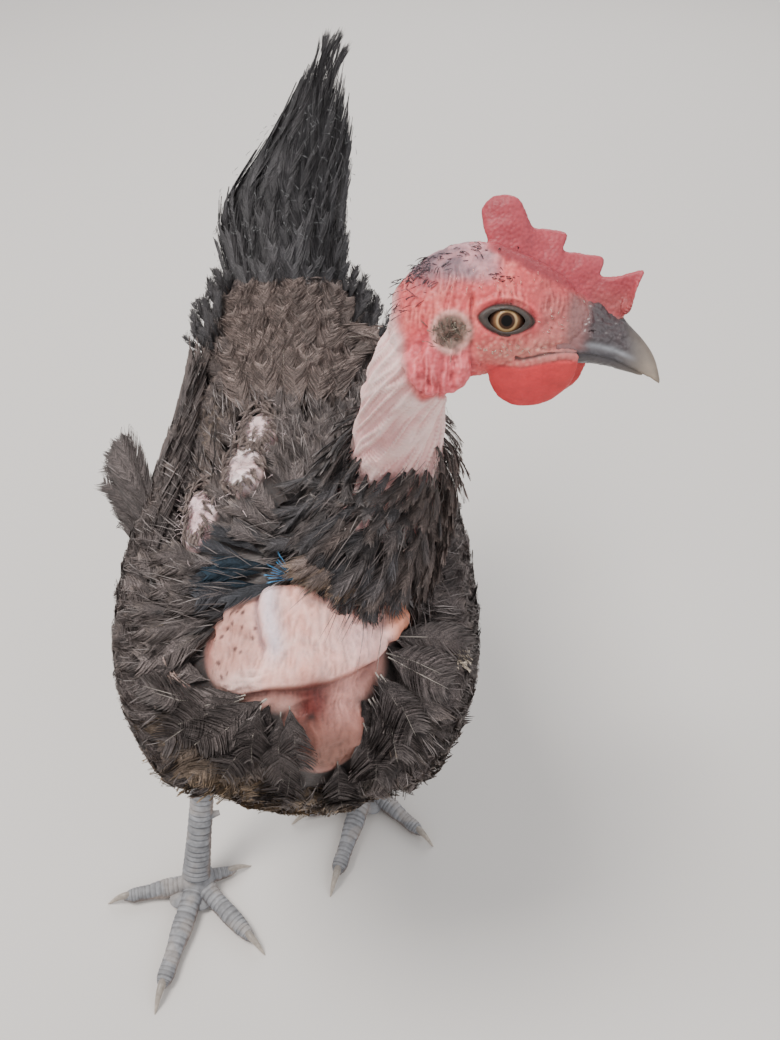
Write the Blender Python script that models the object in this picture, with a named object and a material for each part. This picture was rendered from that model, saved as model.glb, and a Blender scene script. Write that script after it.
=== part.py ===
"""A naked-neck village chicken, life size, standing still with its head turned to its left.

Metres, +Z up. The bird faces -Y, its left side is +X, and it stands on the floor at Z = 0.
"""

import math
import random

import bmesh
import bpy
import numpy as np
from mathutils import Vector
from mathutils.bvhtree import BVHTree

# Driving sizes
GAP = 0.0003
CENTRE = (0.0034, 0.0025, 0.0)
TAU = 2 * math.pi
UP = np.array([0.0, 0.0, 1.0])
SIDEWAYS = np.array([1.0, 0.0, 0.0])
DOWN = -UP
ZERO = np.zeros(3)

# The trunk's stations from breast to rump: x, y, z of its centre line, half width, height above and below it
TORSO_STATIONS = (
    (0.005, -0.162, 0.188, 0.002, 0.002, 0.002),
    (0.005, -0.158, 0.189, 0.025, 0.026, 0.031),
    (0.005, -0.145, 0.192, 0.046, 0.045, 0.058),
    (0.004, -0.116, 0.200, 0.063, 0.060, 0.078),
    (0.003, -0.078, 0.209, 0.067, 0.064, 0.078),
    (0.002, -0.037, 0.219, 0.064, 0.058, 0.068),
    (-0.002, -0.003, 0.231, 0.055, 0.050, 0.057),
    (-0.005, 0.027, 0.246, 0.046, 0.037, 0.044),
    (-0.008, 0.052, 0.259, 0.042, 0.026, 0.032),
    (-0.009, 0.073, 0.269, 0.034, 0.017, 0.021),
)
TORSO_RINGS = 18
TORSO_SIDES = 20
CROP_SPOT = (0.20, 0.02)
CROP_SPREAD = (0.10, 0.62)
CROP_BULGE = 0.010
RUMP_CAP = ((0.80, 0.005), (0.42, 0.009))

NECK_PATH = (
    (0.012, -0.104, 0.222),
    (0.031, -0.089, 0.256),
    (0.0435, -0.081, 0.286),
    (0.0459, -0.0917, 0.3177),
    (0.0473, -0.1050, 0.3430),
    (0.0519, -0.1103, 0.3593),
    (0.0600, -0.110, 0.370),
)
NECK_RADII = (0.024, 0.0215, 0.0175, 0.0148, 0.0125, 0.0122, 0.0105)
NECK_SIDES = 12
NECK_RINGS = 10

# The head's own axes: forward along the bill, dorsal towards the comb, right towards the bird's right
HEAD_ORIGIN = np.array([0.0771, -0.1092, 0.3718])
HEAD_YAW = math.radians(81.6)
HEAD_PITCH = math.radians(-0.6)
HEAD_ROLL = math.radians(32.0)
HEAD_STATIONS = (
    (-0.0335, 0.0045, -0.0085, 0.0060),
    (-0.0315, 0.0085, -0.0140, 0.0095),
    (-0.0270, 0.0140, -0.0180, 0.0120),
    (-0.0200, 0.0190, -0.0190, 0.0138),
    (-0.0110, 0.0213, -0.0175, 0.0146),
    (-0.0020, 0.0205, -0.0158, 0.0140),
    (0.0060, 0.0180, -0.0140, 0.0124),
    (0.0130, 0.0145, -0.0122, 0.0103),
    (0.0190, 0.0105, -0.0108, 0.0083),
    (0.0235, 0.0070, -0.0098, 0.0060),
    (0.0255, 0.0040, -0.0088, 0.0032),
)
HEAD_RINGS = 15
HEAD_SIDES = 16

EYE_RADIUS = 0.0062
EYE_OUT = 0.0089
LID_LONG = 0.0072
LID_HIGH = 0.0052
LID_THICK = 0.0013
EAR_SPOT = (-0.0152, -0.0048)
EAR_RADIUS = 0.0040
EAR_RIM = 0.0010
LOBE_SPOT = (-0.0150, -0.0165)
LOBE_SIZE = (0.0085, 0.0078, 0.0040)

MOUTH_LINE = (
    (0.0061, -0.0108),
    (0.0120, -0.0088),
    (0.0180, -0.0074),
    (0.0260, -0.0075),
    (0.0320, -0.0084),
    (0.0385, -0.0106),
    (0.0432, -0.0124),
)
MOUTH_GROOVE = 0.0006
UPPER_BILL = (
    (0.0150, 0.0085, 0.0090),
    (0.0210, 0.0080, 0.0078),
    (0.0270, 0.0062, 0.0064),
    (0.0320, 0.0038, 0.0050),
    (0.0360, 0.0008, 0.0039),
    (0.0395, -0.0030, 0.0029),
    (0.0422, -0.0072, 0.0019),
    (0.0440, -0.0118, 0.0008),
)
LOWER_BILL = (
    (0.0150, 0.0042, 0.0086),
    (0.0220, 0.0034, 0.0070),
    (0.0290, 0.0028, 0.0052),
    (0.0350, 0.0023, 0.0036),
    (0.0395, 0.0016, 0.0021),
    (0.0415, 0.0009, 0.0009),
)
NOSTRIL_SPOT = (0.0246, -0.0012)
NOSTRIL_SIZE = (0.0023, 0.0008, 0.0022)

# The comb's blade as pairs of points, base and edge, in the head's forward and dorsal axes, from rear to front
COMB_COLUMNS = (
    ((-0.0060, 0.0170), (-0.0100, 0.0275)),
    ((-0.0048, 0.0165), (-0.0106, 0.0312)),
    ((-0.0030, 0.0160), (-0.0085, 0.0340)),
    ((-0.0010, 0.0155), (-0.0045, 0.0354)),
    ((0.0010, 0.0150), (-0.0005, 0.0345)),
    ((0.0030, 0.0145), (0.0022, 0.0312)),
    ((0.0050, 0.0138), (0.0048, 0.0272)),
    ((0.0075, 0.0130), (0.0090, 0.0268)),
    ((0.0105, 0.0120), (0.0143, 0.0262)),
    ((0.0120, 0.0112), (0.0146, 0.0240)),
    ((0.0130, 0.0108), (0.0143, 0.0214)),
    ((0.0160, 0.0098), (0.0185, 0.0208)),
    ((0.0200, 0.0080), (0.0252, 0.0204)),
    ((0.0215, 0.0072), (0.0260, 0.0180)),
    ((0.0228, 0.0066), (0.0256, 0.0150)),
    ((0.0258, 0.0052), (0.0305, 0.0152)),
    ((0.0285, 0.0040), (0.0368, 0.0170)),
    ((0.0300, 0.0030), (0.0360, 0.0128)),
    ((0.0312, 0.0020), (0.0352, 0.0078)),
    ((0.0318, 0.0010), (0.0330, 0.0040)),
)
COMB_THICK_BASE = 0.0056
COMB_THICK_EDGE = 0.0026
COMB_LEAN = 0.0035

WATTLE_ROOT = (0.0020, 0.0185)
WATTLE_DROP = 0.0185
WATTLE_THICK = 0.0030
WATTLE_APART = 0.0062

# Each leg: hock, ankle above the toes, and the tips of the middle, outer, inner and hind toes on the floor
LEGS = {
    "right": {
        "hip": (-0.036, -0.060, 0.172),
        "hock": (-0.0530, -0.0590, 0.1080),
        "ankle": (-0.0655, -0.1080, 0.0130),
        "middle": (-0.0780, -0.1730),
        "outer": (-0.1120, -0.1180),
        "inner": (-0.0270, -0.1445),
        "hind": (-0.0400, -0.0975),
    },
    "left": {
        "hip": (0.040, -0.038, 0.174),
        "hock": (0.0400, -0.0080, 0.1060),
        "ankle": (0.0285, -0.0480, 0.0130),
        "middle": (0.0100, -0.1110),
        "outer": (0.0655, -0.0825),
        "inner": (-0.0130, -0.0690),
        "hind": (0.0440, -0.0170),
    },
}
THIGH_RADII = (0.0140, 0.0255, 0.0265, 0.0225, 0.0155, 0.0098)
SHANK_RADIUS = 0.0062
SHANK_SCUTES = 9
SCUTE_STEP = 0.0006
HOCK_SIZE = (0.0105, 0.0100, 0.0088)
SOLE_HUB_RADIUS = 0.0088
SOLE_SINK = 0.88
TOE_SCUTES = {"middle": 6, "outer": 5, "inner": 4, "hind": 2}
TOE_RADII = {
    "middle": (0.0064, 0.0047),
    "outer": (0.0058, 0.0042),
    "inner": (0.0060, 0.0044),
    "hind": (0.0048, 0.0037),
}
CLAW_LENGTHS = {"middle": 0.0125, "outer": 0.0105, "inner": 0.0110, "hind": 0.0100}
SPUR_LENGTH = 0.0050

# Folded wings lie on the trunk: place along it, and angle from the back's middle line
WING_ALONG = (0.150, 0.86)
WING_UPPER = ((0.0, 76.0), (0.25, 56.0), (0.6, 46.0), (1.0, 56.0))
WING_LOWER = ((0.0, 94.0), (0.25, 104.0), (0.6, 108.0), (1.0, 90.0))
WING_REST = 0.0006
WING_FLARE = 0.004
WING_CORE_THICK = (0.0080, 0.0095, 0.0085, 0.0050)
WING_CORE_END = 0.56
VANE_THICK = 0.0007

TAIL_ROOT = np.array([-0.010, 0.064, 0.268])
TAIL_TIP = np.array([0.011, 0.180, 0.3580])

# The widths along a vane, from its root to its rounded tip, as shares of its greatest half width
LONG_VANE = ((0.0, 0.50), (0.50, 1.0), (0.90, 0.80), (1.0, 0.18))
SHORT_VANE = ((0.0, 0.55), (0.50, 1.0), (0.86, 0.78), (1.0, 0.18))
LOCK_VANE = ((0.0, 0.60), (0.45, 1.0), (0.80, 0.66), (1.0, 0.12))

# Tiers of the ruff: where they start along the neck, how many locks, and how long, wide, spread and raised
COLLAR_TIERS = (
    {"at": 0.34, "count": 7, "length": 0.034, "half": 0.0096, "flare": 34.0, "lift": 0.0088},
    {"at": 0.26, "count": 8, "length": 0.040, "half": 0.0106, "flare": 44.0, "lift": 0.0056},
    {"at": 0.18, "count": 8, "length": 0.046, "half": 0.0116, "flare": 54.0, "lift": 0.0026},
)
COLLAR_LEFT_REACH = 0.55
COLLAR_FRONT_REACH = 0.38
COLLAR_OVER_WING = 0.0125
COLLAR_TILT = 0.045
COLLAR_SHINGLE = math.radians(11.0)
COLLAR_FOOT = 0.06
COLLAR_TOP = 0.40
COLLAR_CORE_GROWTH = (0.0120, 0.0060, 0.0014)
COLLAR_ROOM_GROWTH = (0.0195, 0.0095, 0.0030)

# Tiers of the wing, each from its lowest to its highest vane, in places along and up the wing
WING_TIERS = (
    {"count": 4, "roots": ((0.30, 0.08), (0.42, 0.36)), "tips": ((0.84, 0.00), (0.97, 0.36)),
     "half": 0.0068, "lifts": (0.0012, 0.0010), "tilt": (8.0, 11.0), "shape": LONG_VANE},
    {"count": 5, "roots": ((0.26, 0.16), (0.38, 0.88)), "tips": ((0.74, 0.14), (0.95, 0.86)),
     "half": 0.0094, "lifts": (0.0036, 0.0048), "tilt": (10.0, 12.0), "shape": LONG_VANE},
    {"count": 5, "roots": ((0.18, 0.12), (0.30, 0.90)), "tips": ((0.47, 0.08), (0.68, 0.92)),
     "half": 0.0104, "lifts": (0.0060, 0.0086), "tilt": (11.0, 11.0), "shape": SHORT_VANE},
    {"count": 4, "roots": ((0.07, 0.16), (0.18, 0.88)), "tips": ((0.30, 0.12), (0.47, 0.90)),
     "half": 0.0112, "lifts": (0.0064, 0.0108), "tilt": (11.0, 11.0), "shape": SHORT_VANE},
    {"count": 3, "roots": ((0.00, 0.22), (0.06, 0.82)), "tips": ((0.17, 0.18), (0.27, 0.84)),
     "half": 0.0116, "lifts": (0.0056, 0.0120), "tilt": (12.0, 12.0), "shape": SHORT_VANE},
)

# Loose feathers over the right wing: their roots' place on the wing, and their tips
TUFT = (
    ((0.50, 0.92), (-0.098, -0.004, 0.236)),
    ((0.50, 0.92), (-0.097, -0.014, 0.224)),
    ((0.50, 0.90), (-0.088, -0.026, 0.212)),
    ((0.60, 0.92), (-0.0770, 0.022, 0.236)),
    ((0.68, 0.90), (-0.0745, 0.038, 0.236)),
)
TUFT_HALF = 0.0075
TUFT_DEPTH = 0.006
TUFT_FACING = np.array([-0.5, -0.2, 1.0])

# Along the tail from its root: share of the length, sideways place of its middle, half width, and height
TAIL_OUTLINE = (
    (-0.08, -0.0107, 0.0240, 0.0240),
    (0.06, -0.0117, 0.0270, 0.0330),
    (0.26, -0.0125, 0.0290, 0.0370),
    (0.39, -0.0130, 0.0300, 0.0360),
    (0.50, -0.0080, 0.0270, 0.0320),
    (0.62, -0.0018, 0.0215, 0.0265),
    (0.74, 0.0033, 0.0165, 0.0205),
    (0.86, 0.0072, 0.0115, 0.0150),
    (0.94, 0.0108, 0.0080, 0.0100),
    (1.00, 0.0135, 0.0045, 0.0055),
)
TAIL_FOLD = math.radians(126.0)
TAIL_RAISE = 0.008
TAIL_SPREAD = (0.09, 0.29, 0.49, 0.69, 0.89)
TAIL_REACH = (1.00, 0.94, 0.82, 0.66, 0.48)
TAIL_VANE_HALF = 0.0086
TAIL_LAYER = 0.0055
TAIL_SUNK = 0.0060
TAIL_TILT = math.radians(11.0)
TAIL_COVERT_TIERS = (
    {"count": 3, "reach": 0.38, "half": 0.0108, "lifts": (-0.0040, 0.0034)},
    {"count": 3, "reach": 0.20, "half": 0.0108, "lifts": (-0.0020, 0.0060)},
)

COLOURS = {
    "feathers": (0.060, 0.048, 0.042, 1.0),
    "black_feathers": (0.022, 0.020, 0.021, 1.0),
    "bare_skin": (0.72, 0.43, 0.38, 1.0),
    "face": (0.58, 0.16, 0.14, 1.0),
    "comb": (0.52, 0.10, 0.10, 1.0),
    "bill": (0.30, 0.26, 0.22, 1.0),
    "eye": (0.36, 0.22, 0.07, 1.0),
    "scales": (0.30, 0.32, 0.33, 1.0),
    "claw": (0.50, 0.42, 0.36, 1.0),
}


def unit(vector):
    vector = np.asarray(vector, float)
    return vector / np.linalg.norm(vector)


def smooth_through(rows):
    """A function from 0..1 to a row, on a smooth curve through the rows given."""
    table = np.array(rows, float)
    last = len(table) - 1

    def value(t):
        place = min(max(t, 0.0), 1.0) * last
        k = min(int(place), last - 1)
        f = place - k
        before = table[max(k - 1, 0)]
        a, b = table[k], table[k + 1]
        after = table[min(k + 2, last)]
        return 0.5 * (
            2 * a
            + (b - before) * f
            + (2 * before - 5 * a + 4 * b - after) * f * f
            + (3 * a - before - 3 * b + after) * f * f * f
        )

    return value


def read_off(table, at):
    """The value at a place in a table of (place, value) pairs, joined by straight lines."""
    places, values = zip(*table)
    return float(np.interp(at, places, values))


def material(name):
    found = bpy.data.materials.get(name)
    if found:
        return found
    made = bpy.data.materials.new(name)
    made.use_nodes = True
    shader = made.node_tree.nodes["Principled BSDF"]
    shader.inputs["Base Color"].default_value = COLOURS[name]
    shader.inputs["Roughness"].default_value = 0.35 if name == "eye" else 0.6
    shader.inputs["Metallic"].default_value = 0.0
    return made


def mesh_object(name, points, faces, finish):
    mesh = bpy.data.meshes.new(name)
    mesh.from_pydata([tuple(map(float, p)) for p in points], [], faces)
    mesh.validate()
    mesh.materials.append(material(finish))
    made = bpy.data.objects.new(name, mesh)
    bpy.context.scene.collection.objects.link(made)
    face_outwards(made)
    return made


def face_outwards(obj):
    work = bmesh.new()
    work.from_mesh(obj.data)
    bmesh.ops.recalc_face_normals(work, faces=work.faces)
    if work.calc_volume(signed=True) < 0:
        bmesh.ops.reverse_faces(work, faces=work.faces)
    work.to_mesh(obj.data)
    work.free()


def loft(name, rings, finish):
    """A closed skin over rings of equal count, with a fan on each end."""
    sides = len(rings[0])
    points = [p for ring in rings for p in ring]
    faces = []
    for k in range(len(rings) - 1):
        low, high = k * sides, (k + 1) * sides
        for i in range(sides):
            j = (i + 1) % sides
            faces.append((low + i, low + j, high + j))
            faces.append((low + i, high + j, high + i))
    for start, ring in ((0, rings[0]), ((len(rings) - 1) * sides, rings[-1])):
        middle = len(points)
        points.append(np.mean(ring, axis=0))
        faces += [(start + i, start + (i + 1) % sides, middle) for i in range(sides)]
    made = mesh_object(name, points, faces, finish)
    made.data.shade_smooth()
    return made


def plate(name, sections, finish):
    """A thin vane from sections of four points each, split alike on both faces."""
    points = [p for section in sections for p in section]
    faces = [(0, 1, 2), (0, 2, 3)]
    for k in range(len(sections) - 1):
        low, high = 4 * k, 4 * k + 4
        # left above, left below, right below, right above
        faces += [(low, low + 3, high + 3), (low, high + 3, high)]
        faces += [(low + 1, high + 2, low + 2), (low + 1, high + 1, high + 2)]
        faces += [(low, high, high + 1), (low, high + 1, low + 1)]
        faces += [(low + 3, low + 2, high + 2), (low + 3, high + 2, high + 3)]
    end = 4 * (len(sections) - 1)
    faces += [(end, end + 2, end + 1), (end, end + 3, end + 2)]
    return mesh_object(name, points, faces, finish)


def ring_about(centre, along, first, radius_first, radius_second, sides, turn=0.0):
    """An ellipse about a line, its first axis as near to the direction asked as it can be."""
    along = unit(along)
    first = unit(np.asarray(first) - np.dot(first, along) * along)
    second = np.cross(along, first)
    angles = [turn + TAU * i / sides for i in range(sides)]
    return [
        centre + radius_first * math.cos(a) * first + radius_second * math.sin(a) * second
        for a in angles
    ]


def tube(name, path, radii, sides, rings, finish, first=UP):
    """A round limb along a smooth path, its radius read along the same way."""
    where = smooth_through(path)
    thick = smooth_through([(r,) for r in radii])
    step = 0.01
    made = []
    for k in range(rings):
        t = k / (rings - 1)
        along = where(min(t + step, 1)) - where(max(t - step, 0))
        radius = float(thick(t)[0])
        made.append(ring_about(where(t), along, first, radius, radius, sides))
    return loft(name, made, finish)


def ellipsoid(name, centre, axes, sizes, finish, rings=8, sides=12):
    """A round body with its own three axes."""
    a, b, c = (unit(axis) for axis in axes)
    made = []
    for k in range(1, rings):
        lean = math.pi * k / rings
        middle = centre + c * sizes[2] * math.cos(lean)
        angles = [TAU * i / sides for i in range(sides)]
        made.append([
            middle
            + a * sizes[0] * math.sin(lean) * math.cos(angle)
            + b * sizes[1] * math.sin(lean) * math.sin(angle)
            for angle in angles
        ])
    return loft(name, made, finish)


def evaluate(obj):
    """Replaces the object's mesh by what its modifiers make of it."""
    bpy.context.view_layer.update()
    graph = bpy.context.evaluated_depsgraph_get()
    mesh = bpy.data.meshes.new_from_object(obj.evaluated_get(graph))
    old = obj.data
    obj.modifiers.clear()
    obj.data = mesh
    bpy.data.meshes.remove(old)


def keep_largest(obj):
    """Drops loose scraps and fills sealed hollows by keeping only the largest closed surface."""
    work = bmesh.new()
    work.from_mesh(obj.data)
    left = set(work.faces)
    groups = []
    while left:
        seed = left.pop()
        group = [seed]
        queue = [seed]
        while queue:
            face = queue.pop()
            for edge in face.edges:
                if len(edge.link_faces) != 2:
                    continue
                for other in edge.link_faces:
                    if other in left:
                        left.remove(other)
                        group.append(other)
                        queue.append(other)
        groups.append(group)
    groups.sort(key=lambda faces: sum(face.calc_area() for face in faces))
    scraps = [face for group in groups[:-1] for face in group]
    bmesh.ops.delete(work, geom=scraps, context="FACES")
    loose = [v for v in work.verts if not v.link_faces]
    bmesh.ops.delete(work, geom=loose, context="VERTS")
    work.to_mesh(obj.data)
    work.free()


def fuse(name, pieces):
    """Joins closed pieces that overlap into one closed body."""
    first = pieces[0]
    first.name = name
    if len(pieces) == 1:
        return first
    group = bpy.data.collections.new(name + "_pieces")
    for piece in pieces[1:]:
        group.objects.link(piece)
    union = first.modifiers.new("Join", "BOOLEAN")
    union.operation = "UNION"
    union.operand_type = "COLLECTION"
    union.collection = group
    union.solver = "MANIFOLD"
    evaluate(first)
    for piece in pieces[1:]:
        bpy.data.objects.remove(piece)
    bpy.data.collections.remove(group)
    keep_largest(first)
    return first


def cut(obj, cutter, keep_cutter=False):
    """Takes the cutter's room out of the object."""
    difference = obj.modifiers.new("Cut", "BOOLEAN")
    difference.operation = "DIFFERENCE"
    difference.operand_type = "OBJECT"
    difference.object = cutter
    difference.solver = "MANIFOLD"
    evaluate(obj)
    if not keep_cutter:
        bpy.data.objects.remove(cutter)
    keep_largest(obj)
    return obj


def grown(obj, by):
    """A copy of a plain body, thicker all over by the width given."""
    copy = obj.copy()
    copy.data = obj.data.copy()
    copy.name = obj.name + "_grown"
    bpy.context.scene.collection.objects.link(copy)
    work = bmesh.new()
    work.from_mesh(copy.data)
    work.normal_update()
    moved = [v.co + v.normal * by * v.calc_shell_factor() for v in work.verts]
    for vertex, place in zip(work.verts, moved):
        vertex.co = place
    work.to_mesh(copy.data)
    work.free()
    return copy


def duplicate(obj):
    copy = obj.copy()
    copy.data = obj.data.copy()
    bpy.context.scene.collection.objects.link(copy)
    return copy


def clear_of(obj, *plain_bodies):
    """Cuts the object back so that a thin gap stays between it and each plain body."""
    for body in plain_bodies:
        cut(obj, grown(body, GAP))
    return obj


def vane(name, stations, across, half_widths, thick, finish):
    """A feather's vane through stations of (point, face normal), as wide as the list says."""
    sections = []
    for k, (point, normal) in enumerate(stations):
        wide = across[k] * half_widths[k]
        deep = normal * thick / 2
        sections.append((
            point - wide + deep,
            point - wide - deep,
            point + wide - deep,
            point + wide + deep,
        ))
    return plate(name, sections, finish)


def surface_vane(name, place, root, tip, half_width, lifts, tilts, shape, finish):
    """A vane that lies on a surface: place(u, v, lift) gives a point and the normal there."""
    root, tip = np.array(root), np.array(tip)
    reach = 0.02
    stations, across = [], []
    for t, _ in shape:
        here = root + (tip - root) * t
        lift = lifts[0] + (lifts[1] - lifts[0]) * t
        tilt = tilts[0] + (tilts[1] - tilts[0]) * t
        point, normal = place(here[0], here[1], lift)
        ahead = place(*(here + (tip - root) * reach), lift)[0]
        behind = place(*(here - (tip - root) * reach), lift)[0]
        along = unit(ahead - behind)
        side = unit(np.cross(normal, along))
        side, normal = (
            math.cos(tilt) * side + math.sin(tilt) * normal,
            math.cos(tilt) * normal - math.sin(tilt) * side,
        )
        stations.append((point, normal))
        across.append(side)
    widths = [half_width * share for _, share in shape]
    return vane(name, stations, across, widths, VANE_THICK, finish)


torso_row = smooth_through(TORSO_STATIONS)


def torso_frame(s):
    """Centre, upward direction, half width and the two heights at a share of the trunk's length."""
    step = 0.01
    row = torso_row(s)
    along = unit(torso_row(s + step)[:3] - torso_row(s - step)[:3])
    upward = unit(UP - np.dot(UP, along) * along)
    return row[:3], upward, row[3], row[4], row[5]


def torso_raw(s, angle):
    """A point of the trunk's outline. The angle runs from the back's middle towards the left side."""
    centre, upward, half, above, below = torso_frame(s)
    height = above if math.cos(angle) > 0 else below
    point = centre + SIDEWAYS * half * math.sin(angle) + upward * height * math.cos(angle)
    turn = (angle - CROP_SPOT[1] + math.pi) % TAU - math.pi
    swell = math.exp(-(((s - CROP_SPOT[0]) / CROP_SPREAD[0]) ** 2) - (turn / CROP_SPREAD[1]) ** 2)
    return point + unit(point - centre) * CROP_BULGE * swell


def torso_place(s, angle, lift):
    """A point standing off the trunk's surface, and the outward normal there."""
    step = 0.012
    s_in = min(max(s, step), 1 - step)
    point = torso_raw(s, angle)
    forward = torso_raw(s_in + step, angle) - torso_raw(s_in - step, angle)
    around = torso_raw(s_in, angle + step) - torso_raw(s_in, angle - step)
    normal = unit(np.cross(around, forward))
    if np.dot(normal, point - torso_frame(s_in)[0]) < 0:
        normal = -normal
    return point + normal * lift, normal


def make_torso():
    rings = []
    for k in range(TORSO_RINGS):
        share = k / (TORSO_RINGS - 1)
        s = share ** 1.25
        rings.append([torso_raw(s, TAU * i / TORSO_SIDES) for i in range(TORSO_SIDES)])
    rear, middle = rings[-1], np.mean(rings[-1], axis=0)
    along = unit(middle - np.mean(rings[-2], axis=0))
    for share, out in RUMP_CAP:
        rings.append([middle + (point - middle) * share + along * out for point in rear])
    return loft("torso", rings, "feathers")


def head_axes():
    forward = np.array([
        math.sin(HEAD_YAW) * math.cos(HEAD_PITCH),
        -math.cos(HEAD_YAW) * math.cos(HEAD_PITCH),
        math.sin(HEAD_PITCH),
    ])
    level = unit(np.cross(UP, forward))
    upright = np.cross(forward, level)
    dorsal = math.cos(HEAD_ROLL) * upright + math.sin(HEAD_ROLL) * level
    return forward, dorsal, np.cross(forward, dorsal)


FORWARD, DORSAL, RIGHT = head_axes()


def on_head(forward, dorsal, right):
    return HEAD_ORIGIN + FORWARD * forward + DORSAL * dorsal + RIGHT * right


def head_ring(station, sides=HEAD_SIDES):
    """A section of the head, a little flatter on its cheeks than an ellipse."""
    forward, top, bottom, half = station
    middle, height = (top + bottom) / 2, (top - bottom) / 2
    ring = []
    for i in range(sides):
        angle = TAU * i / sides
        c, s = math.cos(angle), math.sin(angle)
        square = 0.88
        ring.append(on_head(
            forward,
            middle + height * math.copysign(abs(c) ** square, c),
            half * math.copysign(abs(s) ** square, s),
        ))
    return ring


def make_plain_head():
    station = smooth_through(HEAD_STATIONS)
    rings = [head_ring(station(k / (HEAD_RINGS - 1))) for k in range(HEAD_RINGS)]
    return loft("plain_head", rings, "face")


def oval_rim(name, centre, outward, long_axis, long_radius, high_radius, thick, finish):
    """A ring of flesh, such as the lids or the rim of the ear."""
    outward = unit(outward)
    long_axis = unit(long_axis - np.dot(long_axis, outward) * outward)
    high_axis = np.cross(outward, long_axis)
    around, sides = 12, 5
    points, faces = [], []
    for i in range(around):
        angle = TAU * i / around
        radial = math.cos(angle) * long_axis + math.sin(angle) * high_axis
        middle = (
            centre
            + long_axis * long_radius * math.cos(angle)
            + high_axis * high_radius * math.sin(angle)
        )
        for j in range(sides):
            turn = TAU * j / sides
            points.append(middle + thick * (math.cos(turn) * radial + math.sin(turn) * outward))
    for i in range(around):
        for j in range(sides):
            a, b = i * sides + j, i * sides + (j + 1) % sides
            c = (i + 1) % around * sides + (j + 1) % sides
            d = (i + 1) % around * sides + j
            faces += [(a, b, c), (a, c, d)]
    return mesh_object(name, points, faces, finish)


def head_half_width(forward):
    places, halves = zip(*[(row[0], row[3]) for row in HEAD_STATIONS])
    return float(np.interp(forward, places, halves))


def mouth_height(forward):
    return read_off(MOUTH_LINE, forward)


def make_mouth_cutter(side):
    """A thin curved blade along the line of the mouth, from its corner to the bill's root."""
    deep = 0.0018
    sections = []
    for forward, dorsal in MOUTH_LINE[:4]:
        outside = head_half_width(forward) + 0.001
        inner, outer = side * (outside - 0.001 - deep), side * (outside + 0.002)
        half = MOUTH_GROOVE / 2
        sections.append((
            on_head(forward, dorsal + half, inner),
            on_head(forward, dorsal - half, inner),
            on_head(forward, dorsal - half, outer),
            on_head(forward, dorsal + half, outer),
        ))
    return plate("mouth_cutter", sections, "face")


def make_head(plain_head, plain_neck):
    head = duplicate(plain_head)
    pieces = [head]
    for side in (1, -1):
        outward = RIGHT * side
        lid_middle = on_head(0.0, 0.0, side * (EYE_OUT + 0.0036))
        pieces.append(oval_rim(
            "lids", lid_middle, outward, FORWARD, LID_LONG, LID_HIGH, LID_THICK, "face"))
        ear_half = head_half_width(EAR_SPOT[0])
        ear_middle = on_head(*EAR_SPOT, side * (ear_half - 0.0008))
        rim = oval_rim(
            "ear_rim", ear_middle, outward, FORWARD, EAR_RADIUS, EAR_RADIUS, EAR_RIM, "face")
        pieces.append(clear_of(rim, plain_neck))
        lobe_middle = on_head(*LOBE_SPOT, side * (ear_half - 0.0035))
        lobe = ellipsoid(
            "ear_lobe", lobe_middle, (FORWARD, DORSAL, RIGHT), LOBE_SIZE, "face", 6, 10)
        pieces.append(clear_of(lobe, plain_neck))
    head = fuse("head", pieces)
    for side in (1, -1):
        eye_middle = on_head(0.0, 0.0, side * EYE_OUT)
        cut(head, ellipsoid(
            "socket", eye_middle, (FORWARD, DORSAL, RIGHT), [EYE_RADIUS + GAP] * 3, "face", 8, 14))
        cup_middle = on_head(*EAR_SPOT, side * (head_half_width(EAR_SPOT[0]) + 0.0010))
        cup = (EAR_RADIUS * 0.8, EAR_RADIUS * 0.8, EAR_RADIUS * 0.75)
        cut(head, ellipsoid("ear_cup", cup_middle, (FORWARD, DORSAL, RIGHT), cup, "face", 5, 8))
        cut(head, make_mouth_cutter(side))
    return head


def make_eyes():
    for side, label in ((1, "right"), (-1, "left")):
        middle = on_head(0.0, 0.0, side * EYE_OUT)
        axes = (FORWARD, DORSAL, RIGHT)
        ellipsoid("eye_" + label, middle, axes, [EYE_RADIUS] * 3, "eye", 8, 14)


def bill_section(station, floor, sides=12):
    """An arch of horn over a flat floor, or hanging under it where its height is below the floor."""
    forward, edge, half = station
    ring = []
    for i in range(sides):
        angle = math.pi * i / (sides - 1)
        bow = max(math.sin(angle), 0.0) ** 0.85
        ring.append(on_head(forward, floor + (edge - floor) * bow, half * math.cos(angle)))
    return ring


def make_plain_bill():
    """Two horny halves that meet along the line of the mouth."""
    upper, lower = [], []
    for forward, top, half in UPPER_BILL:
        floor = mouth_height(forward) + GAP / 2
        if forward > MOUTH_LINE[-1][0]:
            floor = top - 0.0012
        upper.append(bill_section((forward, top, half), floor))
    for forward, depth, half in LOWER_BILL:
        roof = mouth_height(forward) - GAP / 2
        lower.append(bill_section((forward, roof - depth, half), roof))
    return loft("bill_upper", upper, "bill"), loft("bill_lower", lower, "bill")


def make_bill(plain_head, plain_upper, plain_lower):
    upper, lower = duplicate(plain_upper), duplicate(plain_lower)
    plain_upper.name, plain_lower.name = "plain_upper", "plain_lower"
    upper.name, lower.name = "bill_upper", "bill_lower"
    for side in (1, -1):
        middle = on_head(*NOSTRIL_SPOT, side * 0.0072)
        long_axis = FORWARD + 0.25 * DORSAL
        axes = (long_axis, np.cross(long_axis, RIGHT), RIGHT)
        cut(upper, ellipsoid("nostril", middle, axes, NOSTRIL_SIZE, "bill", 6, 8))
    clear_of(upper, plain_head)
    clear_of(lower, plain_head)


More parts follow.
